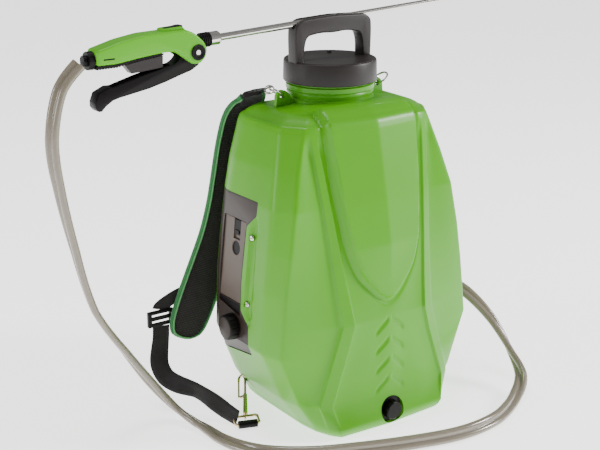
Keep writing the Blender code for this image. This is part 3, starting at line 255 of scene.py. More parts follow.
def rod(name, start, end, r1, r2=None, sides=32):
    """A cylinder or cone between two points, in millimetres."""
    start, end = Vector(start) * MM, Vector(end) * MM
    turn = Vector((0, 0, 1)).rotation_difference(end - start).to_matrix()
    rows = []
    for point, radius in ((start, r1), (end, r1 if r2 is None else r2)):
        angles = [2 * math.pi * i / sides for i in range(sides)]
        rows.append([point + turn @ Vector((math.cos(a), math.sin(a), 0)) * radius * MM for a in angles])
    return skin(name, rows)


def turned(name, profile, at, along, sides=64):
    """A round piece from a profile of radius and height, in millimetres. It may start and end on the axis."""
    turn = Vector((0, 0, 1)).rotation_difference(Vector(along)).to_matrix()
    angles = [2 * math.pi * i / sides for i in range(sides)]
    rows = []
    for radius, height in profile:
        ring = [Vector((max(radius, 0.01) * math.cos(a), max(radius, 0.01) * math.sin(a), height)) for a in angles]
        rows.append([(Vector(at) + turn @ p) * MM for p in ring])
    return skin(name, rows)


def rounded(points, radius, steps=4):
    """An outline with its corners rounded."""
    out = []
    count = len(points)
    for i in range(count):
        before, here, after = (Vector(points[(i + k) % count]) for k in (-1, 0, 1))
        a, b = before - here, after - here
        reach = min(radius, a.length * 0.45, b.length * 0.45)
        p, q = here + a.normalized() * reach, here + b.normalized() * reach
        for k in range(steps + 1):
            t = k / steps
            out.append(tuple(p * (1 - t) ** 2 + here * 2 * t * (1 - t) + q * t ** 2))
    return out


def copy_of(node, bevel=0.0, segments=2, angle=30):
    """A measured part's shape as a new piece, with flat faces joined again and its edges rounded."""
    mesh = NODES[node].data.copy()
    obj = link("look_" + node, mesh)
    obj.data.materials.clear()
    bm = bmesh.new()
    bm.from_mesh(mesh)
    bmesh.ops.remove_doubles(bm, verts=bm.verts, dist=2e-6)
    bmesh.ops.dissolve_limit(bm, angle_limit=math.radians(1.0), verts=bm.verts, edges=bm.edges)
    bm.to_mesh(mesh)
    bm.free()
    if bevel:
        apply(obj, "BEVEL", width=bevel * MM, segments=segments, angle_limit=math.radians(angle),
              miter_outer="MITER_ARC", use_clamp_overlap=True)
    return smooth(obj)


def smooth_route(points, count):
    """A centripetal Catmull-Rom curve through the points, read at even steps of its length."""
    points = np.asarray(points, float)
    p = np.vstack([2 * points[0] - points[1], points, 2 * points[-1] - points[-2]])
    fine = []
    for i in range(1, len(p) - 2):
        knots = [0.0]
        for j in range(3):
            knots.append(knots[-1] + np.linalg.norm(p[i + j, :3] - p[i + j - 1, :3]) ** 0.5)
        for t in np.linspace(knots[1], knots[2], 24, endpoint=False):
            row = [p[i + j - 1] for j in range(4)]
            for level in range(1, 4):
                row = [(row[j] * (knots[j + level] - t) + row[j + 1] * (t - knots[j])) /
                       (knots[j + level] - knots[j]) for j in range(4 - level)]
            fine.append(row[0])
    fine = np.array(fine + [points[-1]])
    run = np.concatenate([[0], np.cumsum(np.linalg.norm(np.diff(fine[:, :3], axis=0), axis=1))])
    even = np.linspace(0, run[-1], count)
    return np.stack([np.interp(even, run, fine[:, k]) for k in range(fine.shape[1])], axis=1)


# %% [markdown]
# ## Twin hose
#
# Two equal translucent lines are joined side by side. They leave the gun's tail, hang in a long bow, sweep over the
# floor in front of the tank and climb to the pump outlet on the far side, turning about each other on the way. Each
# station of the route has a place and a roll.

# %%
HOSE_ROUTE = [
    (-352.6, 0, 494.2, 15), (-365, 0, 483, 18), (-378, 0, 466, 22), (-391, 0, 411, 30), (-387, 0, 358, 45),
    (-367, 9, 270, 65), (-341, 20, 184, 75), (-294, 40, 112, 70), (-259, 40, 58, 55), (-232, 22, 20, 75),
    (-217, -19, 6, 95), (-211, -72, 6, 120), (-190, -122, 6, 140), (-148, -160, 6, 155), (-98, -186, 6, 170),
    (-2, -220, 6, 180), (57, -231, 7, 180), (120, -223, 9, 175), (183, -190, 10, 170), (214, -167, 22, 140),
    (223, -138, 42, 95), (219, -100, 82, 55), (200, -62, 118, 30), (180, -34, 134, 20),
]
LINE_R = 4.7
LINE_PITCH = 9.4
ROLL_FROM = Vector((0.542, 0.783, -0.306))  # the direction that a roll of nothing shows both lines across
HOSE_RINGS = 420
rows = smooth_route(HOSE_ROUTE, HOSE_RINGS)
along = np.gradient(rows[:, :3], axis=0)
along /= np.linalg.norm(along, axis=1)[:, None]
rings, centre_line = [], []
for row, step in zip(rows, along):
    step = Vector(step)
    across = step.cross(ROLL_FROM).normalized()
    across = Matrix.Rotation(math.radians(row[3]), 3, step) @ across
    over = step.cross(across)
    middle = Vector(row[:3])
    middle.z = max(middle.z, LINE_R + abs(across.z) * LINE_PITCH / 2 + 0.3)
    ring = []
    for side, start in ((1, -150), (-1, 30)):
        for k in range(13):
            a = math.radians(start + 300 * k / 12)
            ring.append(middle + across * (side * LINE_PITCH / 2 + LINE_R * math.cos(a))
                        + over * LINE_R * math.sin(a))
    rings.append([p * MM for p in ring])
    centre_line.append(tuple(middle * MM))
twin_hose = smooth(skin("twin_hose", rings), 50)
dress(twin_hose, HOSE, "tank", "hose_supply", "hose_return", slot="hose")

# %% [markdown]
# ## Tank
#
# The tank is a loft of outlines at ten heights, read at a fine step so that its silhouette is smooth. Each outline's
# corners are rounded. The front is then worked in relief: a raised shield that narrows to a rounded tip, a soft ridge
# and four chevrons under it, and a recessed channel beside the battery unit for the screws. The back has a shallow
# recessed panel.

# %%
W = 161.0
BACK = 60.0
FRONT = -136.0
EDGE = 397.0
TOP = 412.0
HALVES = {
    0: [(0, FRONT - 10), (80, -142), (89, -131), (98, -110), (102, -82), (103, 20), (102, 42), (94, BACK - 5)],
    12: [(0, FRONT - 13), (85, -146), (94, -135), (104, -112), (108, -82), (109, 20), (108, 44), (99, BACK)],
    46: [(0, FRONT - 4), (92, -137), (106, -130), (126, -112), (132, -80), (132, 24), (127, 46), (113, BACK)],
    116: [(0, FRONT), (68, -137), (83, -132), (W - 8, -111), (W, -78), (W, 28), (W - 8, 48), (W - 23, BACK)],
    151: [(0, FRONT + 2), (58, -138), (72, -133), (W - 11.5, -110), (W - 1, -80), (W - 1, 29), (W - 9, 48),
          (W - 23, BACK)],
    196: [(0, FRONT + 6), (63, -128), (75.5, -124), (W - 17, -109), (W - 3.4, -82), (W - 3, 29), (W - 11, 48),
          (W - 25, BACK)],
    247: [(0, FRONT + 9), (69, -118), (79.5, -114), (W - 25, -108), (W - 10, -80), (W - 9, 28), (W - 17, 48),
          (W - 31, BACK)],
    302: [(0, FRONT + 19), (75, -107), (84, -105), (W - 35, -104), (W - 18, -76), (W - 16, 26), (W - 24, 47),
          (W - 37, BACK - 1)],
    348: [(0, FRONT + 29), (80, -97), (88, -95.5), (W - 47, -93), (W - 29, -68), (W - 25, 24), (W - 32, 46),
          (W - 45, BACK - 4)],
    397: [(0, FRONT + 40), (85, -86), (91, -84.5), (W - 63, -82), (W - 43, -54), (W - 39, 20), (W - 45, 44),
          (W - 57, BACK - 8)],
}
LEVELS = sorted(HALVES)
TABLE = np.array([HALVES[z] for z in LEVELS], float)
ROUND = [0, 1.8, 1.8, 3, 5, 10, 9, 9]
STATIONS = [44, 4, 22, 9, 30, 8, 8, 30]


def half_at(z):
    """The eight corners of the outline at a height."""
    return np.array([[np.interp(z, LEVELS, TABLE[:, i, k]) for k in range(2)] for i in range(8)])


def outline_at(z, scale=1.0):
    """The whole outline at a height, with rounded corners and the same number of points at every height."""
    corners = [Vector(c) for c in half_at(z)] + [Vector((0, half_at(z)[-1][1] + 0.6))]
    path = []
    for i in range(8):
        a, b = corners[i], corners[i + 1]
        before = ROUND[i] if i else 0
        after = ROUND[i + 1] if i < 7 else 0
        length = (b - a).length
        before, after = min(before, length * 0.45), min(after, length * 0.45)
        p, q = a.lerp(b, before / length), a.lerp(b, 1 - after / length)
        for k in range(STATIONS[i]):
            path.append(p.lerp(q, k / STATIONS[i]))
        if i < 7:
            c = corners[i + 2]
            reach = min(after, (c - b).length * 0.45)
            r = b.lerp(c, reach / (c - b).length)
            for k in range(4):
                t = k / 4
                path.append(q * (1 - t) ** 2 + b * 2 * t * (1 - t) + r * t ** 2)
    path.append(corners[-1])
    right = [(p.x * scale, p.y * scale) for p in path]
    left = [(-x, y) for x, y in reversed(right[1:-1])]
    return np.array(right + left)


heights = np.concatenate([np.arange(0, 24, 3.0), np.arange(24, EDGE - 3, 2.6)])
tank_rows = [np.column_stack([outline_at(z), np.full(len(outline_at(z)), z)]) for z in heights]
foot = tank_rows[0].copy()
for k, (inward, rise) in enumerate(((0.965, 0.0), (0.985, 0.9), (0.996, 2.4))):
    lower = foot.copy()
    lower[:, :2] *= inward
    lower[:, 2] = rise
    tank_rows.insert(k, lower)
tank_rows[3][:, 2] = 3.0
tank_rows.pop(4)
edge = outline_at(EDGE)
for k in range(1, 8):
    a = math.radians(90 * k / 7)
    inward = 1 - 0.055 * (1 - math.cos(a))
    tank_rows.append(np.column_stack([edge * inward, np.full(len(edge), EDGE - 3 + 8 * math.sin(a))]))
for inward, z in ((0.90, 406.0), (0.86, 408.5), (0.82, 410.5), (0.78, 412.0), (0.74, 412.3)):
    tank_rows.append(np.column_stack([edge * inward, np.full(len(edge), z)]))
tank_rows = np.array(tank_rows)


def distance_in(x, z, polygon):
    """Distance to a polygon's edge, positive inside."""
    best = np.full(x.shape, 1e9)
    inside = np.zeros(x.shape, bool)
    count = len(polygon)
    for i in range(count):
        (ax, az), (bx, bz) = polygon[i], polygon[(i + 1) % count]
        t = np.clip(((x - ax) * (bx - ax) + (z - az) * (bz - az)) / ((bx - ax) ** 2 + (bz - az) ** 2), 0, 1)
        best = np.minimum(best, np.hypot(x - ax - t * (bx - ax), z - az - t * (bz - az)))
        crosses = (az > z) != (bz > z)
        with np.errstate(divide="ignore", invalid="ignore"):
            at = ax + (z - az) * (bx - ax) / (bz - az)
        inside ^= crosses & (x < at)
    return np.where(inside, best, -best)


def ease(value, low, high):
    """A smooth step from nought at low to one at high."""
    t = np.clip((value - low) / (high - low), 0, 1)
    return t * t * (3 - 2 * t)


def normals_of(grid):
    """The outward normals of a grid whose rows go up and whose columns go round."""
    up = np.gradient(grid, axis=0)
    around = np.roll(grid, -1, axis=1) - np.roll(grid, 1, axis=1)
    n = np.cross(around, up)
    return n / np.maximum(np.linalg.norm(n, axis=2), 1e-9)[..., None]


X, Y, Z = tank_rows[..., 0], tank_rows[..., 1], tank_rows[..., 2]
front = Y < -60
SHIELD = rounded([(-72, 450), (-70, 395), (-66, 330), (-56, 250), (-42, 212), (-16, 182), (0, 173), (16, 182),
                  (42, 212), (56, 250), (66, 330), (70, 395), (72, 450)], 14)
shield_edge = distance_in(X, Z, SHIELD)
lift = 7.8 * ease(shield_edge, -1.0, 4.6) - 1.6 * np.exp(-((shield_edge + 4.5) / 2.6) ** 2)
lift = lift * front * ease(-Y, 58, 66)
strip_in = np.interp(Z, LEVELS, TABLE[:, 1, 0])
strip_out = np.interp(Z, LEVELS, TABLE[:, 2, 0])
cheek = np.interp(Z, LEVELS, TABLE[:, 3, 0])
aside = np.abs(X)
outside = ease(aside - strip_out, 0.0, 3.0) * (1 - ease(aside - strip_out, 6.0, np.maximum(cheek - strip_out, 9.0)))
inside = ease(strip_in - aside, 0.0, 3.0) * (1 - ease(strip_in - aside, 6.0, 44.0))
inside = inside * (1 - ease(shield_edge, -6.0, 0.0))
lift = lift - (3.4 * outside + 2.6 * inside) * front * ease(Z, 10, 40) * (1 - ease(Z, 366, 394)) * (Y < -70)
ridge = 2.6 * np.exp(-(X / 16.0) ** 2) * ease(Z, 40, 90) * ease(-Z, -185, -150)
lift = lift + ridge * front
CHEVRON_TOP, CHEVRON_STEP, CHEVRON_SLOPE = 150, 27, 0.85
for k in range(4):
    bar = np.abs(Z - (CHEVRON_TOP - CHEVRON_STEP * k) + CHEVRON_SLOPE * np.abs(X))
    groove = 2.0 * (1 - ease(bar, 1.5, 4.5)) * ease(np.abs(X), 1, 4) * (1 - ease(np.abs(X), 20, 25))
    lift = lift - groove * front
CHANNEL = rounded([(-46, 290), (-52, 268), (-53, 165), (-47, 138), (-35, 160), (-35.5, 272)], 6)
lift = lift - 4.2 * ease(distance_in(Y, Z, CHANNEL), -0.5, 4.0) * (X < -110)
PANEL_BACK = rounded([(-88, 40), (88, 40), (80, 380), (-80, 380)], 20)
lift = lift - 5.0 * ease(distance_in(X, Z, PANEL_BACK), 0.0, 12.0) * (Y > 40)
tank_rows = tank_rows + normals_of(tank_rows) * lift[..., None]
tank = skin("tank", tank_rows * MM)

# %% [markdown]
# The neck, the strap lugs and the low strap eyes are joined on, and the inside, the two side pockets, the mouth, the
# drain and the holes are cut out with the same sizes as the measured tank.


# %%
def inner_outline(z, by):
    """A coarse outline moved inwards, for the cavity."""
    half = [tuple(c) for c in half_at(z)] + [(0, half_at(z)[-1][1] + 1)]
    ring = half + [(-x, y) for x, y in reversed(half[1:-1])]
    flat = [Vector(p) for p in ring]
    out = []
    for i, here in enumerate(flat):
        a = (here - flat[i - 1]).normalized()
        b = (flat[(i + 1) % len(flat)] - here).normalized()
        n1, n2 = Vector((-a.y, a.x)), Vector((-b.y, b.x))
        m = (n1 + n2).normalized()
        out.append(here + m * by / max(0.5, m.dot(n1)))
    return out


EYE_X, EYE_Z = 122.2, 33.6
DRAIN_Z = 21


def eye_recess(side, grow):
    """The room that the tank leaves round a low strap eye."""
    out = Vector((side * 0.83, 0, -0.56)).normalized()
    across = Vector((0, 1, 0)).cross(out)
    turn = Matrix((out, (0, 1, 0), across)).transposed().to_4x4()
    turn.translation = Vector((side * EYE_X, 25, EYE_Z)) * MM
    return block("eye_room", (-9 - grow, -15 - grow, -13 - grow), (30, 17 + grow, 13 + grow), turn)


WALL = 7.5
rings = [[(p.x * MM, p.y * MM, max(z, WALL) * MM) for p in inner_outline(z, WALL)] for z in LEVELS[:-1]]
rings.append([(p.x * MM, p.y * MM, (EDGE - WALL) * MM) for p in inner_outline(EDGE, WALL)])
rings.append([(x * 0.8, y * 0.8, (TOP - WALL) * MM) for x, y, z in rings[-1]])
cavity = skin("cavity", rings)
cut(cavity, rod("mouth", (0, 0, TOP - 24), (0, 0, 470), 48, sides=64), operation="UNION")
POCKET = [(-46, 306), (-46, 101), (46, 84), (46, 306)]
grown = [(-50, 310), (-50, 97), (50, 80), (50, 310)]
cut(cavity, plate("walls", grown, -190, -94, "YZ"), block("walls", (94, -36, 82), (190, 48, 240)),
    rod("walls", (0, -170, DRAIN_Z), (0, -112, DRAIN_Z), 22.4), eye_recess(-1, 4), eye_recess(1, 4))
neck = turned("neck", [
    (0, 406), (57, 406), (57, 411), (58.2, 413), (58.2, 419), (56, 420.5), (56, 423.5), (57, 425), (57, 427.5),
    (56, 429), (58, 430.5), (58, 436), (55.4, 437.4), (55, 456), (0, 456),
], (0, 0, 0), (0, 0, 1), sides=96)
cut(tank, neck, operation="UNION")
for side in (-1, 1):
    lug = plate("lug", rounded([(side * 60, 404), (side * 87, 404), (side * 85, 428), (side * 80, 433),
                                (side * 72, 433), (side * 63, 424)], 4), -3, 3)
    cut(tank, lug, operation="UNION")
    cut(tank, rod("hole", (side * 77, -9, 426), (side * 77, 9, 426), 3.6, sides=24))
cut(tank, cavity)
cut(tank, rod("ledge", (0, 0, 450), (0, 0, 470), 51, sides=64))
WEB_EDGE_OUTLINE = rounded([(-46, 306), (-46, 288), (-27, 271), (-27, 159), (-46, 142), (-46, 101), (46, 84),
                            (46, 306)], 2.5, 2)
cut(tank, plate("pocket", WEB_EDGE_OUTLINE, -190, -98, "YZ"), plate("pocket_back", POCKET, -138, -98, "YZ"),
    block("pump_pocket", (98, -32, 86), (190, 44, 236)),
    rod("drain_seat", (0, -180, DRAIN_Z), (0, -135, DRAIN_Z), 18.5, sides=64),
    rod("drain", (0, -180, DRAIN_Z), (0, -96, DRAIN_Z), 8),
    rod("suction", (86, 10, 100), (110, 10, 100), 4.8, sides=24))
for side in (-1, 1):
    cut(tank, eye_recess(side, 0))
    out = Vector((0.83, 0, -0.56))
    across = Vector((0.56, 0, 0.83)) * 8
    centre = Vector((EYE_X, 0, EYE_Z))
    root, tip = centre - out * 10.5, centre + out * 4
    corners = [root - across, tip - across * 0.8, tip + out * 3, tip + across * 0.8, root + across]
    cut(tank, plate("eye", rounded([(side * c.x, c.z) for c in corners], 3), 22.6, 27.4), operation="UNION")
    cut(tank, rod("eye_hole", (side * EYE_X, 16, EYE_Z), (side * EYE_X, 34, EYE_Z), 4.4, sides=24))
for z, face in ((258, 150.7), (170, 159.2)):
    cut(tank, rod("screw_seat", (4 - face, -38.5, z), (-face - 12, -38.5, z), 4.8, sides=24),
        rod("screw_hole", (-130, -38.5, z), (-face - 6, -38.5, z), 2.3, sides=16))
smooth(tank, 38)
dress(tank, GREEN, "tank", "tank_shell", slot="green_plastic")

# %% [markdown]
# ## Lid and handle
#
# The lid is turned with soft edges. The handle is a flat outline with a hand hole, fully rounded, and an open trough
# along its top that holds the lance.

# %%
SLOPE = math.radians(3.3)
VENT_X, VENT_Y = 22.6, 33


def lance_at(x):
    """The centre of the lance at a distance across the tank."""
    return Vector((x, 0, 508.7 + (x + 163.5) * math.tan(SLOPE)))


lance_turn = Matrix.Rotation(-SLOPE, 4, "Y")
LANCE = lance_turn.to_3x3() @ Vector((1, 0, 0))
lid = turned("lid_look", [
    (0, 460), (57.1, 460), (57.1, 439.5), (60.6, 439.5), (61.4, 440.4), (61.5, 445), (61.0, 464.5), (60.2, 466.8),
    (58.4, 467.9), (56, 468), (54, 467.6), (0, 467.6),
], (0, 0, 0), (0, 0, 1), sides=128)
handle_outline = rounded([
    (-60, 462), (-61, 500), (-60, 514), (-50, 521), (0, 523.5), (50, 522), (60, 515), (61, 500), (60, 462), (46.5, 462),
    (46, 486), (42, 499), (20, 502.5), (0, 500.6), (-20, 502), (-42, 499), (-46, 486), (-46.5, 462),
], 9, 5)
handle = plate("handle", handle_outline, -9.5, 9.5)
apply(handle, "BEVEL", width=2.6 * MM, segments=3, angle_limit=math.radians(60))
trough = block("trough", (-160, -6, -5), (160, 6, 40), Matrix.Translation(lance_at(0) * MM) @ lance_turn)
cut(lid, handle, operation="UNION")
cut(lid, trough, rod("vent_hole", (VENT_X, VENT_Y, 450), (VENT_X, VENT_Y, 480), 1.9, sides=20))
dress(smooth(lid, 30), DARK, "lid", "lid", slot="dark_plastic")
vent = turned("vent_look", [
    (0, 457.4), (1.5, 457.4), (1.5, 468.3), (3.4, 468.4), (3.4, 469.6), (2.4, 470.2), (0, 470.4),
], (VENT_X, VENT_Y, 0), (0, 0, 1), sides=24)
dress(smooth(vent), RUBBER, "lid", "vent_valve", slot="rubber")

# %% [markdown]
# ## Battery unit
#
# The housing fills the side pocket a little below the tank's skin. The door, the latch and the knob sit in it.

# %%
housing = copy_of("side_housing", 0.5, 2, 40)
band = plate("band", [(-23.5, 165), (27.4, 165), (27.4, 158), (-23.5, 149)], -175, -155.8, "YZ")
cut(housing, band)
dress(smooth(housing, 15), PANEL, "tank", "side_housing", slot="panel_plastic")
# A black sheet at the floor of the band is painted shadow: it darkens the recess where shade falls.
shadow = plate("band_painted_shadow", [(-23.2, 164.7), (27.1, 164.7), (27.1, 158.3), (-23.2, 149.4)], -156.3, -155.9, "YZ")
dress(shadow, BLACK, "tank", slot="black_plastic")
door = dress(smooth(copy_of("battery_door"), 12), DOOR, "door", "battery_door", slot="panel_plastic")
door_turn = Matrix.Rotation(math.atan2(11.6, 108), 4, "Y")


def on_door(x, y, z):
    """A point in the door's own frame: x into the tank, z up its outer face from the hinge."""
    return Vector((-157.6, 0, 166)) + door_turn @ Vector((x, y, z))


# A thin black disc at the floor of the finger recess is painted shade: it darkens the hollow.
recess = rod("finger_recess", on_door(1.65, -3, 70), on_door(1.3, -3, 70), 9.2, sides=40)
dress(recess, BLACK, "door", slot="black_plastic")
knob = dress(copy_of("speed_knob", 0.4, 2, 40), BLACK, "knob", "speed_knob", slot="black_plastic")
face = turned("knob_face", [(0, 12.05), (13.6, 12.05), (14.2, 12.3), (13.4, 12.7), (0, 12.5)], (-161.4, -9.4, 131.5),
              (-1, 0, 0), 48)
dress(smooth(face), PANEL, "knob", slot="panel_plastic")

# %% [markdown]
# ## Gun and lance
#
# The gun's body is a long tapered moulding that is nearly round in section. The trigger is a black channel that
# hinges on the boss at the front.

# %%
PIVOT = (-204.5, 0, 495.5)
body_outline = rounded([
    (-336.2, 491.8), (-336.2, 508.7), (-304, 517.4), (-275, 522), (-248, 523), (-222, 523.4), (-217.5, 522.8),
    (-207.5, 518.3), (-195.5, 507.7), (-191, 498.7), (-193.6, 488.4), (-201, 481.8), (-210, 481.5), (-215, 484),
    (-231.5, 496.1), (-236.2, 499), (-250.5, 499.1), (-282, 495.8), (-311, 491.8),
], 3.5, 3)
gun = plate("gun_look", body_outline, -13.5, 13.5)
apply(gun, "BEVEL", width=5.0 * MM, segments=5, angle_limit=math.radians(55))
seat = plate("thumb_seat", rounded([(-250, 518), (-247.5, 526), (-222, 527.2), (-213, 518)], 2), -7.6, 7.6)
apply(seat, "BEVEL", width=1.4 * MM, segments=2, angle_limit=math.radians(55))
cut(gun, seat, operation="UNION")
cut(gun, rod("pin_hole", (PIVOT[0], -21, PIVOT[2]), (PIVOT[0], 21, PIVOT[2]), 3.3),
    block("slot", (-240, -9.4, 460), (-175, 9.4, 505.5)), rod("chamber", (-244, 0, 504.7), (-350, 0, 497.7), 6),
    rod("seat", lance_at(-195.4), lance_at(-150), 9.3), block("thumb_slot", (-245.4, -5.4, 513), (-218.4, 5.4, 540)),
    block("mark", (-328, -16, 497.5), (-314, -12.9, 499.3)), block("mark", (-328, 12.9, 497.5), (-314, 16, 499.3)))
dress(smooth(gun, 40), GUN_GREEN, "gun", "gun_body", slot="green_plastic")
for side in (-1, 1):
    # A black sheet at the floor of each side slot is painted shade: it darkens the slot.
    mark = block("mark_painted_shade", (-327.9, side * 13.2 - 0.2, 497.6), (-314.1, side * 13.2 + 0.2, 499.2))
    dress(mark, BLACK, "gun", slot="black_plastic")
    ring = turned("boss_%d" % (side + 2), [(3.4, 13.6), (9.2, 13.6), (9.6, 14.4), (9.0, 15.4), (6.5, 15.4),
                                         (5.6, 14.6), (3.4, 14.6), (3.4, 13.6)], PIVOT, (0, side, 0), 48)
    dress(smooth(ring), BLACK, "gun", slot="black_plastic")
lever = copy_of("trigger_lever", 1.0, 3, 40)
dress(smooth(lever, 40), BLACK, "trigger", "trigger_lever", slot="black_plastic")
under = [(-336.2, 487.2), (-311, 487.6), (-298.8, 490.1), (-282, 492.7), (-252, 496.3)]
teeth = []
for k in range(25):
    x = -336.2 + 3.5 * k
    z = float(np.interp(x, [a for a, b in under], [b for a, b in under]))
    teeth += [(x, z), (x + 1.9, z), (x + 2.3, z + 1.5), (x + 3.1, z + 1.5)]
strip = plate("strip_look", teeth + [(-252, 498.7), (-282, 495.5), (-311, 491.5), (-336.2, 491.5)], -11.6, 11.6)
dress(strip, BLACK, "gun", "grip_strip", slot="black_plastic")
ribs = [(2.8, -6.3), (8.6, -6.3)]
for k in range(5):
    ribs += [(9.1, -6.0 + 2.5 * k), (9.1, -4.6 + 2.5 * k), (8.1, -4.3 + 2.5 * k), (8.1, -3.8 + 2.5 * k)]
collar = turned("collar_look", ribs + [(8.6, 6.3), (2.8, 6.3), (2.8, -6.3)], lance_at(-188.5), LANCE, 64)
dress(smooth(collar, 25), BLACK, "gun", "front_collar", slot="black_plastic")

# %% [markdown]
# ## Straps
#
# A strap pad is a thick strip of mesh cloth in a bound edge. Each strip is swept along its route with a section that
# is rounded, and carries a UV map in millimetres for the weave.


# %%
def axes_of(row, step):
    """The unit directions along a route and across it, at one of its rows."""
    forward = Vector(step).normalized()
    wide = Vector(row[3:6])
    return forward, (wide - forward * wide.dot(forward)).normalized()


def map_cloth(obj, uvs):
    """The weave's map, from one pair of millimetres for each vertex."""
    layer = obj.data.uv_layers.new(name="cloth")
    for loop in obj.data.loops:
        layer.data[loop.index].uv = uvs[loop.vertex_index]


def sweep(name, rows, section, count, body, material, lumps=0.0, seed=1):
    """A section swept along a route. section gives, for a half width, the outline as across and over offsets."""
    rows = smooth_route(rows, count)
    steps = np.gradient(rows[:, :3], axis=0)
    run = np.concatenate([[0], np.cumsum(np.linalg.norm(np.diff(rows[:, :3], axis=0), axis=1))])
    rings, uvs = [], []
    random = np.random.default_rng(seed)
    phase = random.uniform(0, 6.28, 4)
    for row, step, s in zip(rows, steps, run):
        forward, wide = axes_of(row, step)
        over = forward.cross(wide)
        ring = []
        for a, b in section(row[6]):
            swell = 1 + lumps * math.sin(s / 9.0 + phase[0] + a * 0.07) * math.sin(a / 11 + phase[1])
            ring.append((Vector(row[:3]) + wide * a + over * b * swell) * MM)
            uvs.append((a, s))
        rings.append(ring)
    obj = skin(name, rings)
    map_cloth(obj, uvs)
    smooth(obj, 55)
    obj.data.materials.append(material)
    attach(obj, body)
    return obj, run[-1]


def flat_section(thick):
    """A webbing section with softened edges."""
    def section(half):
        e = thick / 2
        return [(half - 0.4, -e), (half, -e * 0.4), (half, e * 0.4), (half - 0.4, e), (half * 0.5, e), (0, e),
                (-half * 0.5, e), (-half + 0.4, e), (-half, e * 0.4), (-half, -e * 0.4), (-half + 0.4, -e),
                (-half * 0.5, -e), (0, -e), (half * 0.5, -e)]
    return section


def pad_section(half):
    """A cushion section: full in the middle, drawn in at the bound edge."""
    points = []
    for k in range(36):
        a = 2 * math.pi * k / 36
        c, s = math.cos(a), math.sin(a)
        across = (half - 1.6) * math.copysign(abs(c) ** 0.28, c)
        over = 4.0 * math.copysign(abs(s) ** 0.55, s)
        points.append((across, over))
    return points


for side, tag in ((-1, "left"), (1, "right")):
    def at(x, y, z, *rest):
        return (side * x, y, z, *rest)

    pad_rows = [
        at(90, 47, 423.5, side, 0, 0, 14), at(87, 60, 412, side, 0, 0, 21), at(91, 69, 395, side, 0, 0, 27),
        at(97, 73, 368, side, 0, 0, 29), at(106, 74, 326, side, 0, 0, 29), at(116, 74, 276, side, 0, 0, 29),
        at(130, 74, 229, side, 0, 0, 29), at(153, 74, 177, side, 0, 0, 29), at(173, 74, 131, side, 0, 0, 29),
        at(184, 74, 106, side, 0, 0, 25), at(188.5, 74, 95, side, 0, 0, 17),
    ]
    pad, _ = sweep("pad_" + tag, pad_rows, pad_section, 150, "tank", MESH, 0.06, 3)
    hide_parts("strap_pad_" + tag)
    fine = smooth_route(pad_rows, 160)
    forward = np.gradient(fine[:, :3], axis=0)
    inner, outer = ([Vector(row[:3]) + axes_of(row, step)[1] * hand * (row[6] - 1.2)
                     for row, step in zip(fine, forward)] for hand in (-1, 1))
    tip = outer[-1].lerp(inner[-1], 0.5) + Vector(forward[-1]).normalized() * 1.5
    route = inner + [inner[-1].lerp(tip, 0.5), tip, outer[-1].lerp(tip, 0.5)] + outer[::-1]
    route = smooth_route([tuple(p) + (0, 1, 0, 0) for p in route[::4]], 240)[:, :3]
    for name, material, thick, deep, shift in (("binding_", TRIM, 3.0, 4.6, 0), ("piping_", PIPING, 1.1, 1.1, -4.6)):
        rings, uvs = [], []
        steps = np.gradient(route, axis=0)
        run = 0.0
        for i, (p, step) in enumerate(zip(route, steps)):
            step = Vector(step).normalized()
            face = Vector((0, 1, 0)) - step * step.y
            face.normalize()
            aside = step.cross(face)
            run += (Vector(route[i]) - Vector(route[i - 1])).length if i else 0
            ring = []
            for k in range(14):
                a = 2 * math.pi * k / 14
                ring.append((Vector(p) + face * (shift + deep * math.sin(a)) + aside * thick * math.cos(a)) * MM)
                uvs.append((4 * a, run))
            rings.append(ring)
        bound = skin(name + tag, rings)
        map_cloth(bound, uvs)
        dress(smooth(bound, 60), material, "tank", slot="pad_fabric")
    half = 12.5
    webs = {
        "top_webbing_": [at(85.5, 27.2, 432, side, 0, 0, 8), at(86.5, 34, 430, side, 0, 0, half),
                         at(88, 43.4, 425.8, side, 0, 0, half)],
        "tab_webbing_": [at(186, 80, 156, side * 0.4, 0, 0.9, half - 4), at(199, 81, 151, side * 0.6, 0, 0.8, half - 3),
                         at(210, 83, 145, side * 0.9, 0, 0.4, half - 2), at(216, 84.2, 139.5, side, 0, 0, half),
                         at(217.2, 84.2, 136.6, side, 0, 0, half)],
        "lower_webbing_": [at(217.5, 84, 113, side, 0, 0, half), at(219, 82.4, 98, side, 0, 0, half),
                           at(223.5, 80, 76, side, 0.2, 0, half), at(226, 76, 61.5, side * 0.9, 0.3, -0.3, half),
                           at(222.5, 66, 46, side * 0.7, 0.2, -0.7, half),
                           at(213, 46, 39.5, side * 0.3, 0, -0.95, half),
                           at(201, 26, 37, 0, 0.2, -1, half), at(190.5, 2, 29, 0, -0.2, -0.95, half),
                           at(180.5, -18, 19, 0, -0.2, -0.95, half), at(173, -37, 12.8, 0, -0.1, -0.97, half - 0.8)],
    }
    for name, route in webs.items():
        strip, length = sweep(name + tag + "_look", route, flat_section(1.6), 60, "tank", WEB)
        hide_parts(name + tag)

# %% [markdown]
# ## The rest of the measured parts
#
# Small hard pieces are shown as measured, with their finishes.

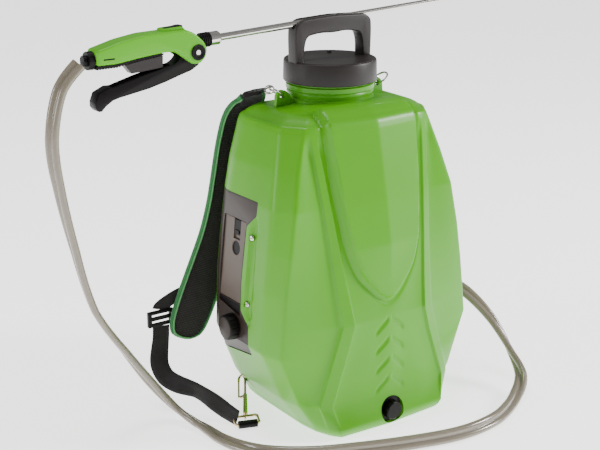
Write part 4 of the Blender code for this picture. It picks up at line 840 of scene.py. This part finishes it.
# %%
LOOKS = {
    "drain_cap": BLACK, "drain_seal": RUBBER, "rear_cap": BLACK,
    "trigger_lock": DARK, "thumb_button": BLACK, "lance_nut": STEEL, "lance_tube": STEEL, "lance_extension": STEEL,
    "nozzle_cap": BLACK, "nozzle_elbow": ZINC, "pivot_pin": STEEL, "panel_screw_1": STEEL, "panel_screw_2": STEEL,
    "door_latch": BLACK, "pump_cover": PANEL, "outlet_manifold": BLACK, "pump_motor": STEEL, "pump_head": BLACK,
    "suction_pipe": PALE, "valve_rod": ZINC, "valve_spring": STEEL, "filler_strainer": BLACK, "lid_gasket": RUBBER,
    "battery_pack": BLACK, "controller": BLACK,
}
for tag in ("left", "right"):
    LOOKS.update({
        "strap_ring_" + tag: STEEL, "strap_link_" + tag: STEEL, "wire_loop_" + tag: ZINC, "hook_gate_" + tag: ZINC,
        "snap_hook_" + tag: ZINC, "ladder_buckle_" + tag: BLACK, "web_roll_" + tag: BLACK,
    })
for node, material in LOOKS.items():
    obj = NODES[node]
    obj.data.materials.clear()
    obj.data.materials.append(material)
    smooth(obj, 40)

# %% [markdown]
# ## Floor and light
#
# A pale floor that glows a little, a key light from the tank's right front, weaker ones from its left and from above,
# and a dim even surround.

# %%
bpy.ops.mesh.primitive_plane_add(size=14, location=(0, 2.0, -0.0008))
floor = bpy.context.object
floor.name = "floor"
paper = finish("paper", (0.9, 0.9, 0.9), 0.9, vary=0.0)
paper.node_tree.nodes["Principled BSDF"].inputs["Emission Color"].default_value = (1.0, 1.0, 1.0, 1.0)
paper.node_tree.nodes["Principled BSDF"].inputs["Emission Strength"].default_value = 1.8
floor.data.materials.append(paper)
world = bpy.data.worlds.new("studio")
world.use_nodes = True
world.node_tree.nodes["Background"].inputs["Color"].default_value = (1.0, 1.0, 1.0, 1.0)
world.node_tree.nodes["Background"].inputs["Strength"].default_value = 0.28
bpy.context.scene.world = world


def lamp(name, at, aim, size, power):
    data = bpy.data.lights.new(name, "AREA")
    data.shape = "RECTANGLE"
    data.size, data.size_y = size
    data.energy = power
    obj = bpy.data.objects.new(name, data)
    obj.location = at
    obj.rotation_euler = (Vector(aim) - Vector(at)).to_track_quat("-Z", "Y").to_euler()
    bpy.context.scene.collection.objects.link(obj)


lamp("key", (2.2, -1.5, 1.4), (0, 0, 0.25), (0.6, 0.9), 84)
lamp("side", (-2.4, 0.4, 1.0), (0, 0, 0.25), (0.6, 1.0), 22)
lamp("top", (-0.2, 0.1, 2.3), (0, 0, 0.35), (0.9, 0.9), 24)
